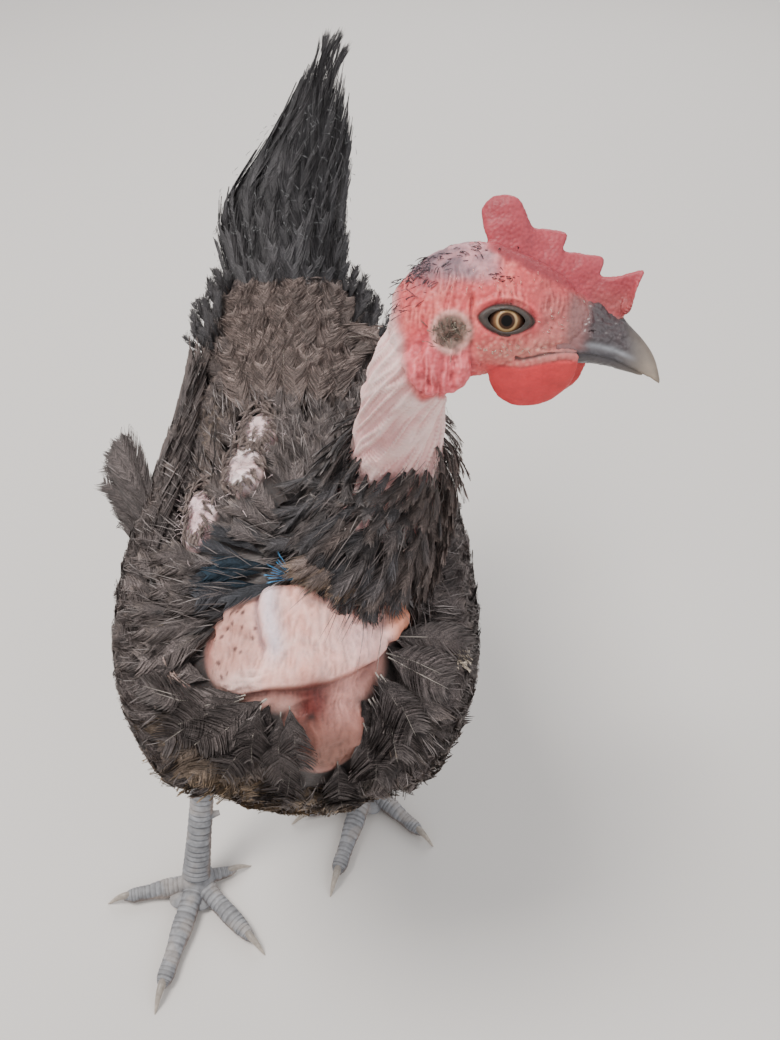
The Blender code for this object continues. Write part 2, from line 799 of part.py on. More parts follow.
def make_comb(plain_head, plain_upper):
    levels = (-0.25, 0.35, 0.80, 1.0)
    rings = []
    for (base_f, base_d), (edge_f, edge_d) in COMB_COLUMNS:
        left, right = [], []
        for level in levels:
            forward = base_f + (edge_f - base_f) * level
            dorsal = base_d + (edge_d - base_d) * level
            share = max(level, 0.0)
            thick = COMB_THICK_BASE + (COMB_THICK_EDGE - COMB_THICK_BASE) * share
            if level == 1.0:
                thick *= 0.55
            front = min(max((base_f - 0.016) / 0.016, 0.0), 1.0)
            lean = COMB_LEAN * share * share * (2.2 * front - 0.5)
            right.append(on_head(forward, dorsal, lean + thick / 2))
            left.append(on_head(forward, dorsal, lean - thick / 2))
        rings.append(right + left[::-1])
    comb = loft("comb", rings, "comb")
    return clear_of(comb, plain_head, plain_upper)


def make_wattles(plain_head, plain_lower):
    rows = 7
    for side, label in ((1, "right"), (-1, "left")):
        rings = []
        for k in range(rows):
            t = k / (rows - 1)
            drop = WATTLE_DROP * t - 0.004
            wide = 0.0098 * math.sqrt(max(1 - (max(t - 0.38, 0) / 0.63) ** 2, 0.01))
            wide *= 0.78 + 0.22 * min(t / 0.4, 1)
            middle_f = (WATTLE_ROOT[0] + WATTLE_ROOT[1]) / 2 - 0.0035 * t
            root = on_head(middle_f, mouth_height(middle_f) - 0.0030, side * WATTLE_APART)
            centre = root + DOWN * drop + RIGHT * side * 0.0012 * math.sin(math.pi * t)
            thick = WATTLE_THICK * (0.75 + 0.25 * math.sin(math.pi * t))
            if k == rows - 1:
                thick *= 0.5
            rings.append(ring_about(centre, DOWN, FORWARD, wide, thick / 2, 12))
        wattle = loft("wattle_" + label, rings, "comb")
        clear_of(wattle, plain_head, plain_lower)


def make_plain_neck():
    return tube("plain_neck", NECK_PATH, NECK_RADII, NECK_SIDES, NECK_RINGS, "bare_skin")


def make_plain_collar(growth, start):
    """A smooth sleeve about the foot of the neck, as thick as the three widths given say."""
    where = smooth_through(NECK_PATH)
    thick = smooth_through([(r,) for r in NECK_RADII])
    rings = []
    rows = 7
    for k in range(rows):
        share = k / (rows - 1)
        t = start + (COLLAR_TOP - start) * share
        along = where(t + 0.02) - where(t - 0.02)
        radius = float(thick(t)[0]) + float(np.interp(share, (0, 0.6, 1), growth))
        rings.append(ring_about(where(t), along, FORWARD, radius, radius, 16))
    return loft("plain_collar", rings, "feathers")


def draped(path, skin, lift):
    """The path, pushed out wherever it comes nearer to the skin than the lift, and the skin's normals."""
    made, normals = [], []
    for point in path:
        spot, normal, _, _ = skin.find_nearest(Vector(point))
        spot, normal = np.array(spot), np.array(normal)
        if np.dot(point - spot, normal) < lift:
            point = spot + normal * lift
        made.append(point)
        normals.append(normal)
    return made, normals


def lock(name, path, outward, half_width, shape, finish, tilt=0.0):
    """A tapered vane along a path of as many points as its shape has, its face turned outward."""
    stations, across = [], []
    for k, point in enumerate(path):
        along = unit(path[min(k + 1, len(path) - 1)] - path[max(k - 1, 0)])
        side = unit(np.cross(outward[k], along))
        normal = np.cross(along, side)
        stations.append((point, math.cos(tilt) * normal - math.sin(tilt) * side))
        across.append(math.cos(tilt) * side + math.sin(tilt) * normal)
    widths = [half_width * share for _, share in shape]
    return vane(name, stations, across, widths, VANE_THICK, finish)


def make_collar(plain_neck, torso, wing):
    """The ruff of feathers at the foot of the bare neck, in tiers that hang down and out."""
    rng = random.Random(10)
    where = smooth_through(NECK_PATH)
    thick = smooth_through([(r,) for r in NECK_RADII])
    skin = BVHTree.FromObject(torso, bpy.context.evaluated_depsgraph_get())
    pieces = [make_plain_collar(COLLAR_CORE_GROWTH, COLLAR_FOOT)]
    for tier in COLLAR_TIERS:
        turn = rng.uniform(0, 1)
        for i in range(tier["count"]):
            angle = TAU * (i + turn) / tier["count"]
            t = tier["at"]
            along = unit(where(t + 0.02) - where(t - 0.02))
            outward = unit(ring_about(ZERO, along, FORWARD, 1.0, 1.0, 1, angle)[0])
            t += COLLAR_TILT * outward[1]
            reach = tier["length"] * rng.uniform(0.90, 1.06)
            reach *= 1 - COLLAR_LEFT_REACH * max(outward[0], 0.0)
            reach *= 1 - COLLAR_FRONT_REACH * max(-outward[1], 0.0)
            flare = math.radians(tier["flare"] + rng.uniform(-3, 3))
            direction = unit(-along * math.cos(flare) + outward * math.sin(flare))
            root = where(t) + outward * (float(thick(t)[0]) + 0.0010)
            path = [root + direction * reach * share for share, _ in LOCK_VANE]
            over_wing = COLLAR_OVER_WING * min(max((outward[0] + 0.20) / 0.35, 0.0), 1.0)
            laid, normals = draped(path[1:], skin, tier["lift"] + over_wing)
            facing = [outward + UP * 0.2] + normals
            pieces.append(lock(
                "collar_lock", [root] + laid, facing, tier["half"], LOCK_VANE, "feathers",
                COLLAR_SHINGLE))
    collar = fuse("neck_collar", pieces)
    return clear_of(collar, torso, plain_neck, wing)


def wing_place(side):
    """A function from (along the wing, up the wing, lift) to a point and normal on that wing."""

    def place(u, v, lift):
        s = WING_ALONG[0] + (WING_ALONG[1] - WING_ALONG[0]) * u
        low = read_off(WING_LOWER, u)
        high = read_off(WING_UPPER, u)
        angle = side * math.radians(low + (high - low) * v)
        flare = WING_FLARE * max(u - 0.45, 0.0) ** 2 / 0.3
        return torso_place(s, angle, WING_REST + flare + lift)

    return place


def make_wing_core(place):
    """The flesh and small feathers of the folded arm, a low cushion on the body's side."""
    columns, rows = 8, 6
    outer, inner = [], []
    for i in range(columns):
        share = i / (columns - 1)
        u = -0.03 + (WING_CORE_END + 0.03) * share
        thick = float(np.interp(share, (0, 0.3, 0.75, 1), WING_CORE_THICK))
        for j in range(rows):
            v = 0.06 + 0.90 * j / (rows - 1)
            round_off = 1 - 0.75 * abs(2 * j / (rows - 1) - 1) ** 3
            round_off *= 1 - 0.6 * max(1 - share / 0.12, 0) ** 2
            outer.append(place(u, v, max(thick * round_off, 0.0012))[0])
            inner.append(place(u, v, -0.0015)[0])
    points = outer + inner
    count = columns * rows
    faces = []
    for i in range(columns - 1):
        for j in range(rows - 1):
            a, b = i * rows + j, i * rows + j + 1
            c, d = (i + 1) * rows + j + 1, (i + 1) * rows + j
            faces += [(a, b, c), (a, c, d)]
            faces += [(count + a, count + c, count + b), (count + a, count + d, count + c)]
    edge = [j for j in range(rows)]
    edge += [i * rows + rows - 1 for i in range(1, columns)]
    edge += [(columns - 1) * rows + j for j in range(rows - 2, -1, -1)]
    edge += [i * rows for i in range(columns - 2, 0, -1)]
    for k, a in enumerate(edge):
        b = edge[(k + 1) % len(edge)]
        faces += [(a, count + b, b), (a, count + a, count + b)]
    return mesh_object("wing_core", points, faces, "feathers")


def make_wing(side, label, torso, *neighbours):
    rng = random.Random(11 if side > 0 else 12)
    place = wing_place(side)
    pieces = [make_wing_core(place)]
    for tier in WING_TIERS:
        count = tier["count"]
        for i in range(count):
            t = i / (count - 1)
            root = [a + (b - a) * t for a, b in zip(*tier["roots"])]
            tip = [a + (b - a) * t for a, b in zip(*tier["tips"])]
            tip[0] += rng.uniform(-0.012, 0.012)
            tilts = [-side * math.radians(tilt) for tilt in tier["tilt"]]
            pieces.append(surface_vane(
                "wing_vane", place, root, tip, tier["half"], tier["lifts"], tilts, tier["shape"],
                "feathers"))
    if side < 0:
        for (u, v), tip in TUFT:
            root = place(u, v, TUFT_DEPTH)[0]
            path = [root + (np.array(tip) - root) * share for share, _ in LOCK_VANE]
            outward = [TUFT_FACING] * len(path)
            pieces.append(lock("tuft_vane", path, outward, TUFT_HALF, LOCK_VANE, "feathers"))
    wing = fuse("wing_" + label, pieces)
    return clear_of(wing, torso, *neighbours)


tail_row = smooth_through(TAIL_OUTLINE)
TAIL_AXIS = unit(TAIL_TIP - TAIL_ROOT)
TAIL_UPRIGHT = unit(UP - np.dot(UP, TAIL_AXIS) * TAIL_AXIS)


def tail_raw(share, fold, shrink=1.0):
    """A point of the folded tail: fold runs from the left edge, -1, over the ridge, 0, to the right, 1."""
    places = [row[0] for row in TAIL_OUTLINE]
    knot = float(np.interp(share, places, range(len(places)))) / (len(places) - 1)
    _, sideways, half, high = tail_row(knot)
    ridge = TAIL_ROOT + (TAIL_TIP - TAIL_ROOT) * share + TAIL_UPRIGHT * TAIL_RAISE * (1 - share)
    ridge[0] = sideways
    angle = fold * TAIL_FOLD
    wide = half * shrink * math.sin(angle) * (0.97 - 0.12 * math.cos(angle))
    drop = high * shrink * (1 - math.cos(angle)) / 2 + (1 - shrink) * high / 2
    return ridge + SIDEWAYS * wide - TAIL_UPRIGHT * drop


def tail_place(share, fold, lift):
    """A point standing off the folded tail's surface, and the outward normal there."""
    step = 0.02
    ahead = tail_raw(share + step, fold) - tail_raw(share - step, fold)
    around = tail_raw(share, fold + step) - tail_raw(share, fold - step)
    normal = unit(np.cross(ahead, around))
    if np.dot(normal, TAIL_UPRIGHT) < 0 and abs(fold) < 0.6:
        normal = -normal
    return tail_raw(share, fold) + normal * lift, normal


def make_tail(torso):
    rng = random.Random(5)
    rings = []
    for k in range(6):
        share = -0.09 + 0.075 * k
        shrink = 0.97 - 0.075 * k
        rings.append([tail_raw(share, -1.4 + 2.8 * i / 13, shrink) for i in range(14)])
    pieces = [loft("tail_core", rings, "black_feathers")]
    for side in (-1, 1):
        tilts = (side * TAIL_TILT, side * TAIL_TILT)
        offset = 0.0008 * side
        for fold, reach in zip(TAIL_SPREAD, TAIL_REACH):
            layer = TAIL_LAYER * (1 - fold) + offset
            reach += rng.uniform(-0.010, 0.010)
            pieces.append(surface_vane(
                "rectrix", tail_place, (0.0, side * fold * 0.9), (reach, side * fold),
                TAIL_VANE_HALF, (layer - TAIL_SUNK, layer), tilts, LONG_VANE, "black_feathers"))
        for tier in TAIL_COVERT_TIERS:
            for i in range(tier["count"]):
                fold = (i + 0.45) / tier["count"]
                layer = TAIL_LAYER * (1 - fold) + offset
                reach = tier["reach"] + rng.uniform(-0.015, 0.015)
                lifts = [layer + lift for lift in tier["lifts"]]
                pieces.append(surface_vane(
                    "tail_covert", tail_place, (-0.05, side * fold), (reach, side * fold),
                    tier["half"], lifts, tilts, SHORT_VANE, "black_feathers"))
    tail = fuse("tail", pieces)
    return clear_of(tail, torso)


def make_plain_thigh(label):
    leg = LEGS[label]
    hip, hock = np.array(leg["hip"]), np.array(leg["hock"])
    knee = (hip + hock) / 2 + np.array([0.0, -0.012, 0.004])
    inside = hip + np.array([-0.45 * hip[0], 0.004, 0.014])
    shin = (knee + hock) / 2 + np.array([0.0, -0.002, 0.0])
    path = (inside, hip, (hip + knee) / 2, knee, shin, hock)
    return tube("plain_thigh_" + label, path, THIGH_RADII, 12, 10, "feathers", SIDEWAYS)


def scaled_rings(path, radii, scutes, sides, front, turn=0.0):
    """Rings of a limb whose front carries overlapping plates, each stepping down to the next."""
    where = smooth_through(path)
    thick = smooth_through([(r,) for r in radii])
    step = 0.02
    rings = []
    for k in range(scutes):
        for share, raised in ((0.06, 0.15), (0.90, 1.0)):
            t = (k + share) / scutes
            along = where(min(t + step, 1)) - where(max(t - step, 0))
            radius = float(thick(t)[0])
            ring = ring_about(where(t), along, front, radius, radius, sides, turn)
            made = []
            for i, point in enumerate(ring):
                facing = max(math.cos(turn + TAU * i / sides), 0.0)
                outward = unit(point - where(t))
                made.append(point + outward * SCUTE_STEP * raised * math.sqrt(facing))
            rings.append(made)
    return rings


def make_shank(label, plain_thigh):
    leg = LEGS[label]
    hock, ankle = np.array(leg["hock"]), np.array(leg["ankle"])
    front = unit(np.array([*leg["middle"], 0.0]) - ankle)
    bow = np.array([0.0, 0.002, 0.0])
    path = (hock, hock + (ankle - hock) * 0.35 + bow, hock + (ankle - hock) * 0.7 + bow, ankle)
    radii = (0.0085, 0.0064, SHANK_RADIUS, 0.0066, 0.0076)
    rings = scaled_rings(path, radii, SHANK_SCUTES, 8, front)
    shank = loft("shank_" + label, rings, "scales")
    hub = hub_for_toes(label)
    inward = np.array([-1.0 if label == "left" else 1.0, 0.35, 0.0])
    spur_root = hock + (ankle - hock) * 0.66
    spur_path = (spur_root, spur_root + unit(inward) * (SHANK_RADIUS + SPUR_LENGTH))
    spur = tube("spur", spur_path, (0.0034, 0.0012), 8, 3, "scales")
    joint = ellipsoid("hock", hock, (UP, front, np.cross(UP, front)), HOCK_SIZE, "scales", 6, 8)
    shank = fuse("shank_" + label, [shank, hub, joint, spur])
    flatten_sole(shank)
    clear_of(shank, plain_thigh)
    return hub_for_toes(label)


def hub_for_toes(label):
    """The ball of the foot, plain, against which the toes' roots are cut too."""
    leg = LEGS[label]
    ankle = np.array(leg["ankle"])
    front = unit(np.array([*leg["middle"], 0.0]) - ankle)
    rows = 8
    lowest_ring = SOLE_HUB_RADIUS * math.cos(math.pi / rows)
    middle = np.array([ankle[0], ankle[1], lowest_ring - 0.0001])
    sizes = (SOLE_HUB_RADIUS * 1.15, SOLE_HUB_RADIUS * 1.1, SOLE_HUB_RADIUS)
    axes = (front, np.cross(UP, front), UP)
    hub = ellipsoid("hub", middle, axes, sizes, "scales", rows, 10)
    flatten_sole(hub)
    return hub


def flatten_sole(obj):
    """Presses what would sink into the floor up to the floor's level."""
    for vertex in obj.data.vertices:
        vertex.co.z = max(vertex.co.z, 0.0)


def make_toe(label, toe, hub, neighbours):
    """A toe with its plates, and a plain one for cutting back the toes beside it."""
    leg = LEGS[label]
    ankle = np.array(leg["ankle"])
    root_radius, end_radius = TOE_RADII[toe]
    start = np.array([ankle[0], ankle[1], root_radius * SOLE_SINK])
    tip = np.array([*leg[toe], end_radius * SOLE_SINK])
    along = unit(tip - start)
    claw_length = CLAW_LENGTHS[toe]
    claw_root = tip - along * claw_length
    if toe == "hind":
        start = start + UP * 0.0035
    path = (start, (start + claw_root) / 2, claw_root)
    radii = (root_radius, (root_radius + end_radius) / 2, end_radius)
    sides = 8
    rings = scaled_rings(path, radii, TOE_SCUTES[toe], sides, UP, math.pi / sides)
    made = loft(f"toe_{toe}_{label}", rings, "scales")
    flatten_sole(made)
    plain = tube("plain_toe", path, [r + SCUTE_STEP for r in radii], 8, 6, "scales")
    clear_of(made, hub, *neighbours)
    return plain, rings[-1], along, claw_root


def make_claw(label, toe, last_ring, along, claw_root):
    """A curved horny claw that starts a hair's breadth past the toe's end and comes down to the floor."""
    length = CLAW_LENGTHS[toe]
    start = np.mean(last_ring, axis=0) + along * 0.0010
    radius = TOE_RADII[toe][1] * 0.62
    rings = []
    for k in range(5):
        t = k / 4
        drop = (start[2] - 0.0006) * t ** 1.7
        rise = 0.0011 * math.sin(math.pi * t)
        centre = start + along * length * t + UP * (rise - drop)
        size = max(radius * (1 - t) ** 0.75, 0.0003)
        ring = ring_about(centre, along, UP, size * 1.1, size, 6)
        rings.append([np.array([p[0], p[1], max(p[2], 0.0)]) for p in ring])
    return loft(f"claw_{toe}_{label}", rings, "claw")


def remove(*objects):
    for obj in objects:
        bpy.data.objects.remove(obj)


def centre_all():
    """Moves the whole bird so that its box stands with the middle of its base on the origin."""
    for obj in bpy.data.objects:
        for vertex in obj.data.vertices:
            for axis in range(3):
                vertex.co[axis] -= CENTRE[axis]


def main():
    for obj in list(bpy.data.objects):
        bpy.data.objects.remove(obj)

    torso = make_torso()
    plain_head = make_plain_head()
    plain_neck = make_plain_neck()

    make_head(plain_head, plain_neck)
    make_eyes()
    plain_upper, plain_lower = make_plain_bill()
    make_bill(plain_head, plain_upper, plain_lower)
    make_comb(plain_head, plain_upper)
    make_wattles(plain_head, plain_lower)

    neck = duplicate(plain_neck)
    neck.name = "neck"
    clear_of(neck, torso, plain_head)
    collar_room = make_plain_collar(COLLAR_ROOM_GROWTH, COLLAR_FOOT)

    thighs = {label: make_plain_thigh(label) for label in LEGS}
    left_wing = make_wing(1, "left", torso, thighs["left"], collar_room)
    make_collar(plain_neck, torso, left_wing)
    make_wing(-1, "right", torso, thighs["right"], collar_room)
    make_tail(torso)

    for label in ("right", "left"):
        plain_thigh = thighs[label]
        hub = make_shank(label, plain_thigh)
        thigh = duplicate(plain_thigh)
        thigh.name = "thigh_" + label
        clear_of(thigh, torso)
        plain_toes = []
        for toe in TOE_SCUTES:
            plain_toe, last_ring, along, claw_root = make_toe(label, toe, hub, plain_toes)
            make_claw(label, toe, last_ring, along, claw_root)
            plain_toes.append(plain_toe)
        remove(hub, *plain_toes)
    remove(plain_head, plain_neck, plain_upper, plain_lower, collar_room, *thighs.values())
    centre_all()


main()
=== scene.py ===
"""The looks of a still, life-size naked-neck village chicken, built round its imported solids."""

import math
import random

import bmesh
import bpy
import numpy as np
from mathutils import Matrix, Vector, noise
from mathutils.bvhtree import BVHTree


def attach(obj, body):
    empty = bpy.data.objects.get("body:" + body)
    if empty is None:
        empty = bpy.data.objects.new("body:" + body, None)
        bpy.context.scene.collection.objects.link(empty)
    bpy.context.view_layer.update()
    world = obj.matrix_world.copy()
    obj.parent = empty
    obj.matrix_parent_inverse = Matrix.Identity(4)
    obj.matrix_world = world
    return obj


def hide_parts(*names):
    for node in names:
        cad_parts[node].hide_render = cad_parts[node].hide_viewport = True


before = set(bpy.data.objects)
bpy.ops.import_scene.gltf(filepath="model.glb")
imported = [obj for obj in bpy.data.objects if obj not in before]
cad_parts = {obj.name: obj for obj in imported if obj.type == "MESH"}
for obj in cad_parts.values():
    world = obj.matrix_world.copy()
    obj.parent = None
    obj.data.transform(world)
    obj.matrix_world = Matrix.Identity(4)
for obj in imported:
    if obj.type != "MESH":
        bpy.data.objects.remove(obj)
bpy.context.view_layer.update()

# The bird is modelled where its source places it and moved by this much at the end
CENTRE = np.array([0.0034, 0.0025, 0.0])
TAU = 2 * math.pi
UP = np.array([0.0, 0.0, 1.0])
SIDEWAYS = np.array([1.0, 0.0, 0.0])

TORSO_STATIONS = (
    (0.005, -0.162, 0.188, 0.002, 0.002, 0.002), (0.005, -0.158, 0.189, 0.025, 0.026, 0.031),
    (0.005, -0.145, 0.192, 0.046, 0.045, 0.058), (0.004, -0.116, 0.2, 0.063, 0.06, 0.078),
    (0.003, -0.078, 0.209, 0.067, 0.064, 0.078), (0.002, -0.037, 0.219, 0.064, 0.058, 0.068),
    (-0.002, -0.003, 0.231, 0.055, 0.05, 0.057), (-0.005, 0.027, 0.246, 0.046, 0.037, 0.044),
    (-0.008, 0.052, 0.259, 0.042, 0.026, 0.032), (-0.009, 0.073, 0.269, 0.034, 0.017, 0.021),
)
CROP_SPOT = (0.2, 0.02)
CROP_SPREAD = (0.1, 0.62)
CROP_BULGE = 0.01
RUMP_CAP = ((0.8, 0.005), (0.42, 0.009))

NECK_PATH = (
    (0.012, -0.104, 0.222), (0.031, -0.089, 0.256), (0.0435, -0.081, 0.286), (0.0459, -0.0917, 0.3177),
    (0.0473, -0.105, 0.343), (0.0519, -0.1103, 0.3593), (0.06, -0.11, 0.37),
)
NECK_RADII = (0.024, 0.0215, 0.0175, 0.0148, 0.0125, 0.0122, 0.0105)
COLLAR_FOOT = 0.06
COLLAR_TOP = 0.4

HEAD_ORIGIN = np.array([0.0771, -0.1092, 0.3718])
HEAD_YAW = math.radians(81.6)
HEAD_PITCH = math.radians(-0.6)
HEAD_ROLL = math.radians(32.0)
HEAD_STATIONS = (
    (-0.0335, 0.0045, -0.0085, 0.006), (-0.0315, 0.0085, -0.014, 0.0095), (-0.027, 0.014, -0.018, 0.012),
    (-0.02, 0.019, -0.019, 0.0138), (-0.011, 0.0213, -0.0175, 0.0146), (-0.002, 0.0205, -0.0158, 0.014),
    (0.006, 0.018, -0.014, 0.0124), (0.013, 0.0145, -0.0122, 0.0103), (0.019, 0.0105, -0.0108, 0.0083),
    (0.0235, 0.007, -0.0098, 0.006), (0.0255, 0.004, -0.0088, 0.0032),
)
EYE_RADIUS = 0.0062
EYE_OUT = 0.0089
EAR_SPOT = (-0.0152, -0.0048)
LOBE_SPOT = (-0.0185, -0.0148)
LOBE_SIZE = (0.0098, 0.0082, 0.0042)
MOUTH_LINE = (
    (0.0061, -0.0108), (0.012, -0.0088), (0.018, -0.0074), (0.026, -0.0075), (0.032, -0.0084),
    (0.0385, -0.0106), (0.0432, -0.0126), (0.0468, -0.0146),
)
UPPER_BILL = (
    (0.015, 0.0082, 0.0088), (0.021, 0.0078, 0.0076), (0.027, 0.0064, 0.0062), (0.0325, 0.0036, 0.0048),
    (0.037, 0.0006, 0.0038), (0.0412, -0.0032, 0.0029), (0.0446, -0.0078, 0.0019),
    (0.0466, -0.0132, 0.0008),
)
LOWER_BILL = (
    (0.015, 0.0042, 0.0086), (0.022, 0.0034, 0.007), (0.029, 0.0028, 0.0052), (0.035, 0.0023, 0.0036),
    (0.0395, 0.0016, 0.0021), (0.0415, 0.0009, 0.0009),
)
NOSTRIL_SPOT = (0.0246, -0.0012)
COMB_COLUMNS = (
    ((-0.006, 0.017), (-0.01, 0.0275)), ((-0.0048, 0.0165), (-0.0106, 0.0312)),
    ((-0.003, 0.016), (-0.0085, 0.034)), ((-0.001, 0.0155), (-0.0045, 0.0354)),
    ((0.001, 0.015), (-0.0005, 0.0345)), ((0.003, 0.0145), (0.0022, 0.0312)),
    ((0.005, 0.0138), (0.0048, 0.0272)), ((0.0075, 0.013), (0.009, 0.0268)),
    ((0.0105, 0.012), (0.0143, 0.0262)), ((0.012, 0.0112), (0.0146, 0.024)),
    ((0.013, 0.0108), (0.0143, 0.0214)), ((0.016, 0.0098), (0.0185, 0.0208)),
    ((0.02, 0.008), (0.0252, 0.0204)), ((0.0215, 0.0072), (0.026, 0.018)),
    ((0.0228, 0.0066), (0.0256, 0.015)), ((0.0258, 0.0052), (0.0305, 0.0152)),
    ((0.0285, 0.004), (0.0368, 0.017)), ((0.03, 0.003), (0.036, 0.0128)),
    ((0.0312, 0.002), (0.0352, 0.0078)), ((0.0318, 0.001), (0.033, 0.004)),
)
COMB_THICK_BASE = 0.0056
COMB_THICK_EDGE = 0.0026
COMB_LEAN = 0.0035

LEGS = {
    "right": {
        "hip": (-0.036, -0.06, 0.172),
        "hock": (-0.053, -0.059, 0.108),
        "ankle": (-0.0655, -0.108, 0.013),
        "middle": (-0.078, -0.173),
        "outer": (-0.112, -0.118),
        "inner": (-0.027, -0.1445),
        "hind": (-0.04, -0.0975),
    },
    "left": {
        "hip": (0.04, -0.038, 0.174),
        "hock": (0.04, -0.008, 0.106),
        "ankle": (0.0285, -0.048, 0.013),
        "middle": (0.01, -0.111),
        "outer": (0.0655, -0.0825),
        "inner": (-0.013, -0.069),
        "hind": (0.044, -0.017),
    },
}
THIGH_RADII = (0.014, 0.0255, 0.0265, 0.0225, 0.0155, 0.0098)
SHANK_RADII = (0.0085, 0.0064, 0.0062, 0.0066, 0.0076)
TOE_RADII = {
    "middle": (0.0064, 0.0047),
    "outer": (0.0058, 0.0042),
    "inner": (0.006, 0.0044),
    "hind": (0.0048, 0.0037),
}
TOE_SCUTES = {"middle": 15, "outer": 12, "inner": 10, "hind": 5}
CLAW_LENGTHS = {"middle": 0.0125, "outer": 0.0105, "inner": 0.011, "hind": 0.01}

WING_ALONG = (0.15, 0.86)
WING_UPPER = ((0.0, 76.0), (0.25, 56.0), (0.6, 46.0), (1.0, 56.0))
WING_LOWER = ((0.0, 94.0), (0.25, 104.0), (0.6, 108.0), (1.0, 90.0))
WING_REST = 0.0006
WING_FLARE = 0.004
WING_CORE_THICK = (0.008, 0.0095, 0.0085, 0.005)
WING_CORE_END = 0.56

TAIL_ROOT = np.array([-0.01, 0.064, 0.268])
TAIL_TIP = np.array([0.011, 0.18, 0.358])
TAIL_OUTLINE = (
    (-0.08, -0.0107, 0.024, 0.024), (0.06, -0.0117, 0.027, 0.033), (0.26, -0.0125, 0.029, 0.037),
    (0.39, -0.013, 0.03, 0.036), (0.5, -0.008, 0.027, 0.032), (0.62, -0.0018, 0.0215, 0.0265),
    (0.74, 0.0033, 0.0165, 0.0205), (0.86, 0.0072, 0.0115, 0.015), (0.94, 0.0108, 0.008, 0.01),
    (1.0, 0.0135, 0.0045, 0.0055),
)
TAIL_FOLD = math.radians(126.0)
TAIL_RAISE = 0.008

# Sizes of the voxels that melt shells together, coarser where feathers hide the skin
HEAD_VOXEL = 0.00043
BODY_VOXEL = 0.0016
BILL_VOXEL = 0.00032

# Distances between neighbouring feathers' roots
TRUNK_GAP = 0.0041
WING_GAP = 0.0037
THIGH_GAP = 0.005
RUFF_GAP = 0.0032

# Rows of the trunk lie closer together at its front by this power
GRADING = 1.25
# Each coat's own seed
SEEDS = {"trunk": 21, "thighs": 31, "left": 41, "right": 42, "tail": 51, "ruff": 61, "tufts": 71}
# How much of its own straightness a trunk or wing feather keeps where the body falls away under it
SUPPLE = 0.02

# How deep the feathered skin lies under the outline of the plumage
COAT_DEEP = 0.006

# Patches with no feathers on the trunk: centre and half widths along the three axes
BARE_PATCHES = (
    ((0.0095, -0.137, 0.256), (0.037, 0.0215, 0.03)), ((0.019, -0.159, 0.23), (0.015, 0.016, 0.019)),
    ((-0.014, -0.039, 0.2738), (0.009, 0.0125, 0.013)), ((-0.019, -0.06, 0.2731), (0.01, 0.014, 0.013)),
    ((-0.035, -0.077, 0.2612), (0.0082, 0.0165, 0.013)),
    ((-0.0386, -0.1395, 0.2292), (0.006, 0.0065, 0.0075)),
    ((0.044, -0.121, 0.2545), (0.0115, 0.012, 0.013)),
)

DARK = np.array([0.068, 0.055, 0.052])
BLACK = np.array([0.034, 0.0312, 0.0322])
BROWN = np.array([0.112, 0.084, 0.074])
GREY = np.array([0.165, 0.144, 0.136])
TAN = np.array([0.24, 0.165, 0.1])
PALE = np.array([0.56, 0.5, 0.43])
PEACH = np.array([0.76, 0.39, 0.32])
PINK = np.array([0.74, 0.41, 0.4])
RED = np.array([0.62, 0.078, 0.086])


def unit(vector):
    vector = np.asarray(vector, float)
    return vector / np.linalg.norm(vector)


def units(rows):
    return rows / np.maximum(np.linalg.norm(rows, axis=-1, keepdims=True), 1e-12)


def smooth_through(rows):
    """A function from 0..1 to a row, on a smooth curve through the rows given."""
    table = np.array(rows, float)
    last = len(table) - 1

    def value(t):
        place = min(max(t, 0.0), 1.0) * last
        k = min(int(place), last - 1)
        f = place - k
        before = table[max(k - 1, 0)]
        a, b = table[k], table[k + 1]
        after = table[min(k + 2, last)]
        return 0.5 * (
            2 * a
            + (b - before) * f
            + (2 * before - 5 * a + 4 * b - after) * f * f
            + (3 * a - before - 3 * b + after) * f * f * f
        )

    return value


def radius_along(radii):
    """A function from 0..1 to the radius there."""
    where = smooth_through([(radius,) for radius in radii])
    return lambda t: float(where(t)[0])


def heading_at(where, t, step):
    return where(t + step) - where(t - step)


def angles_round(sides):
    return TAU * np.arange(sides) / sides


def read_off(table, at):
    places, values = zip(*table)
    return float(np.interp(at, places, values))


def ramp(low, high, value):
    """From 0 at the low value to 1 at the high one, eased at both ends; low may be the greater."""
    t = np.clip((np.asarray(value, float) - low) / (high - low), 0.0, 1.0)
    return t * t * (3 - 2 * t)


def clamp(value):
    return np.clip(value, 0, 1)


def bell(value, middle, width):
    """1 at the middle value, falling to 0 on both sides of it."""
    return np.exp(-(((value - middle) / width) ** 2))


def ring_about(centre, along, first, radius_first, radius_second, sides, turn=0.0):
    along = unit(along)
    first = unit(np.asarray(first) - np.dot(first, along) * along)
    second = np.cross(along, first)
    angles = turn + angles_round(sides)
    return (
        centre
        + radius_first * np.cos(angles)[:, None] * first
        + radius_second * np.sin(angles)[:, None] * second
    )


# Meshes


def raw_mesh(name, points, faces):
    mesh = bpy.data.meshes.new(name)
    faces = [np.asarray(part) for part in (faces if isinstance(faces, list) else [faces])]
    faces = [part for part in faces if len(part)]
    counts = np.concatenate([np.full(len(part), part.shape[1]) for part in faces])
    corners = np.concatenate([part.ravel() for part in faces])
    starts = np.concatenate([[0], np.cumsum(counts)[:-1]])
    mesh.vertices.add(len(points))
    mesh.vertices.foreach_set("co", np.asarray(points, np.float32).ravel())
    mesh.loops.add(len(corners))
    mesh.loops.foreach_set("vertex_index", corners.astype(np.int32))
    mesh.polygons.add(len(counts))
    mesh.polygons.foreach_set("loop_start", starts.astype(np.int32))
    mesh.update(calc_edges=True)
    mesh.validate()
    return mesh


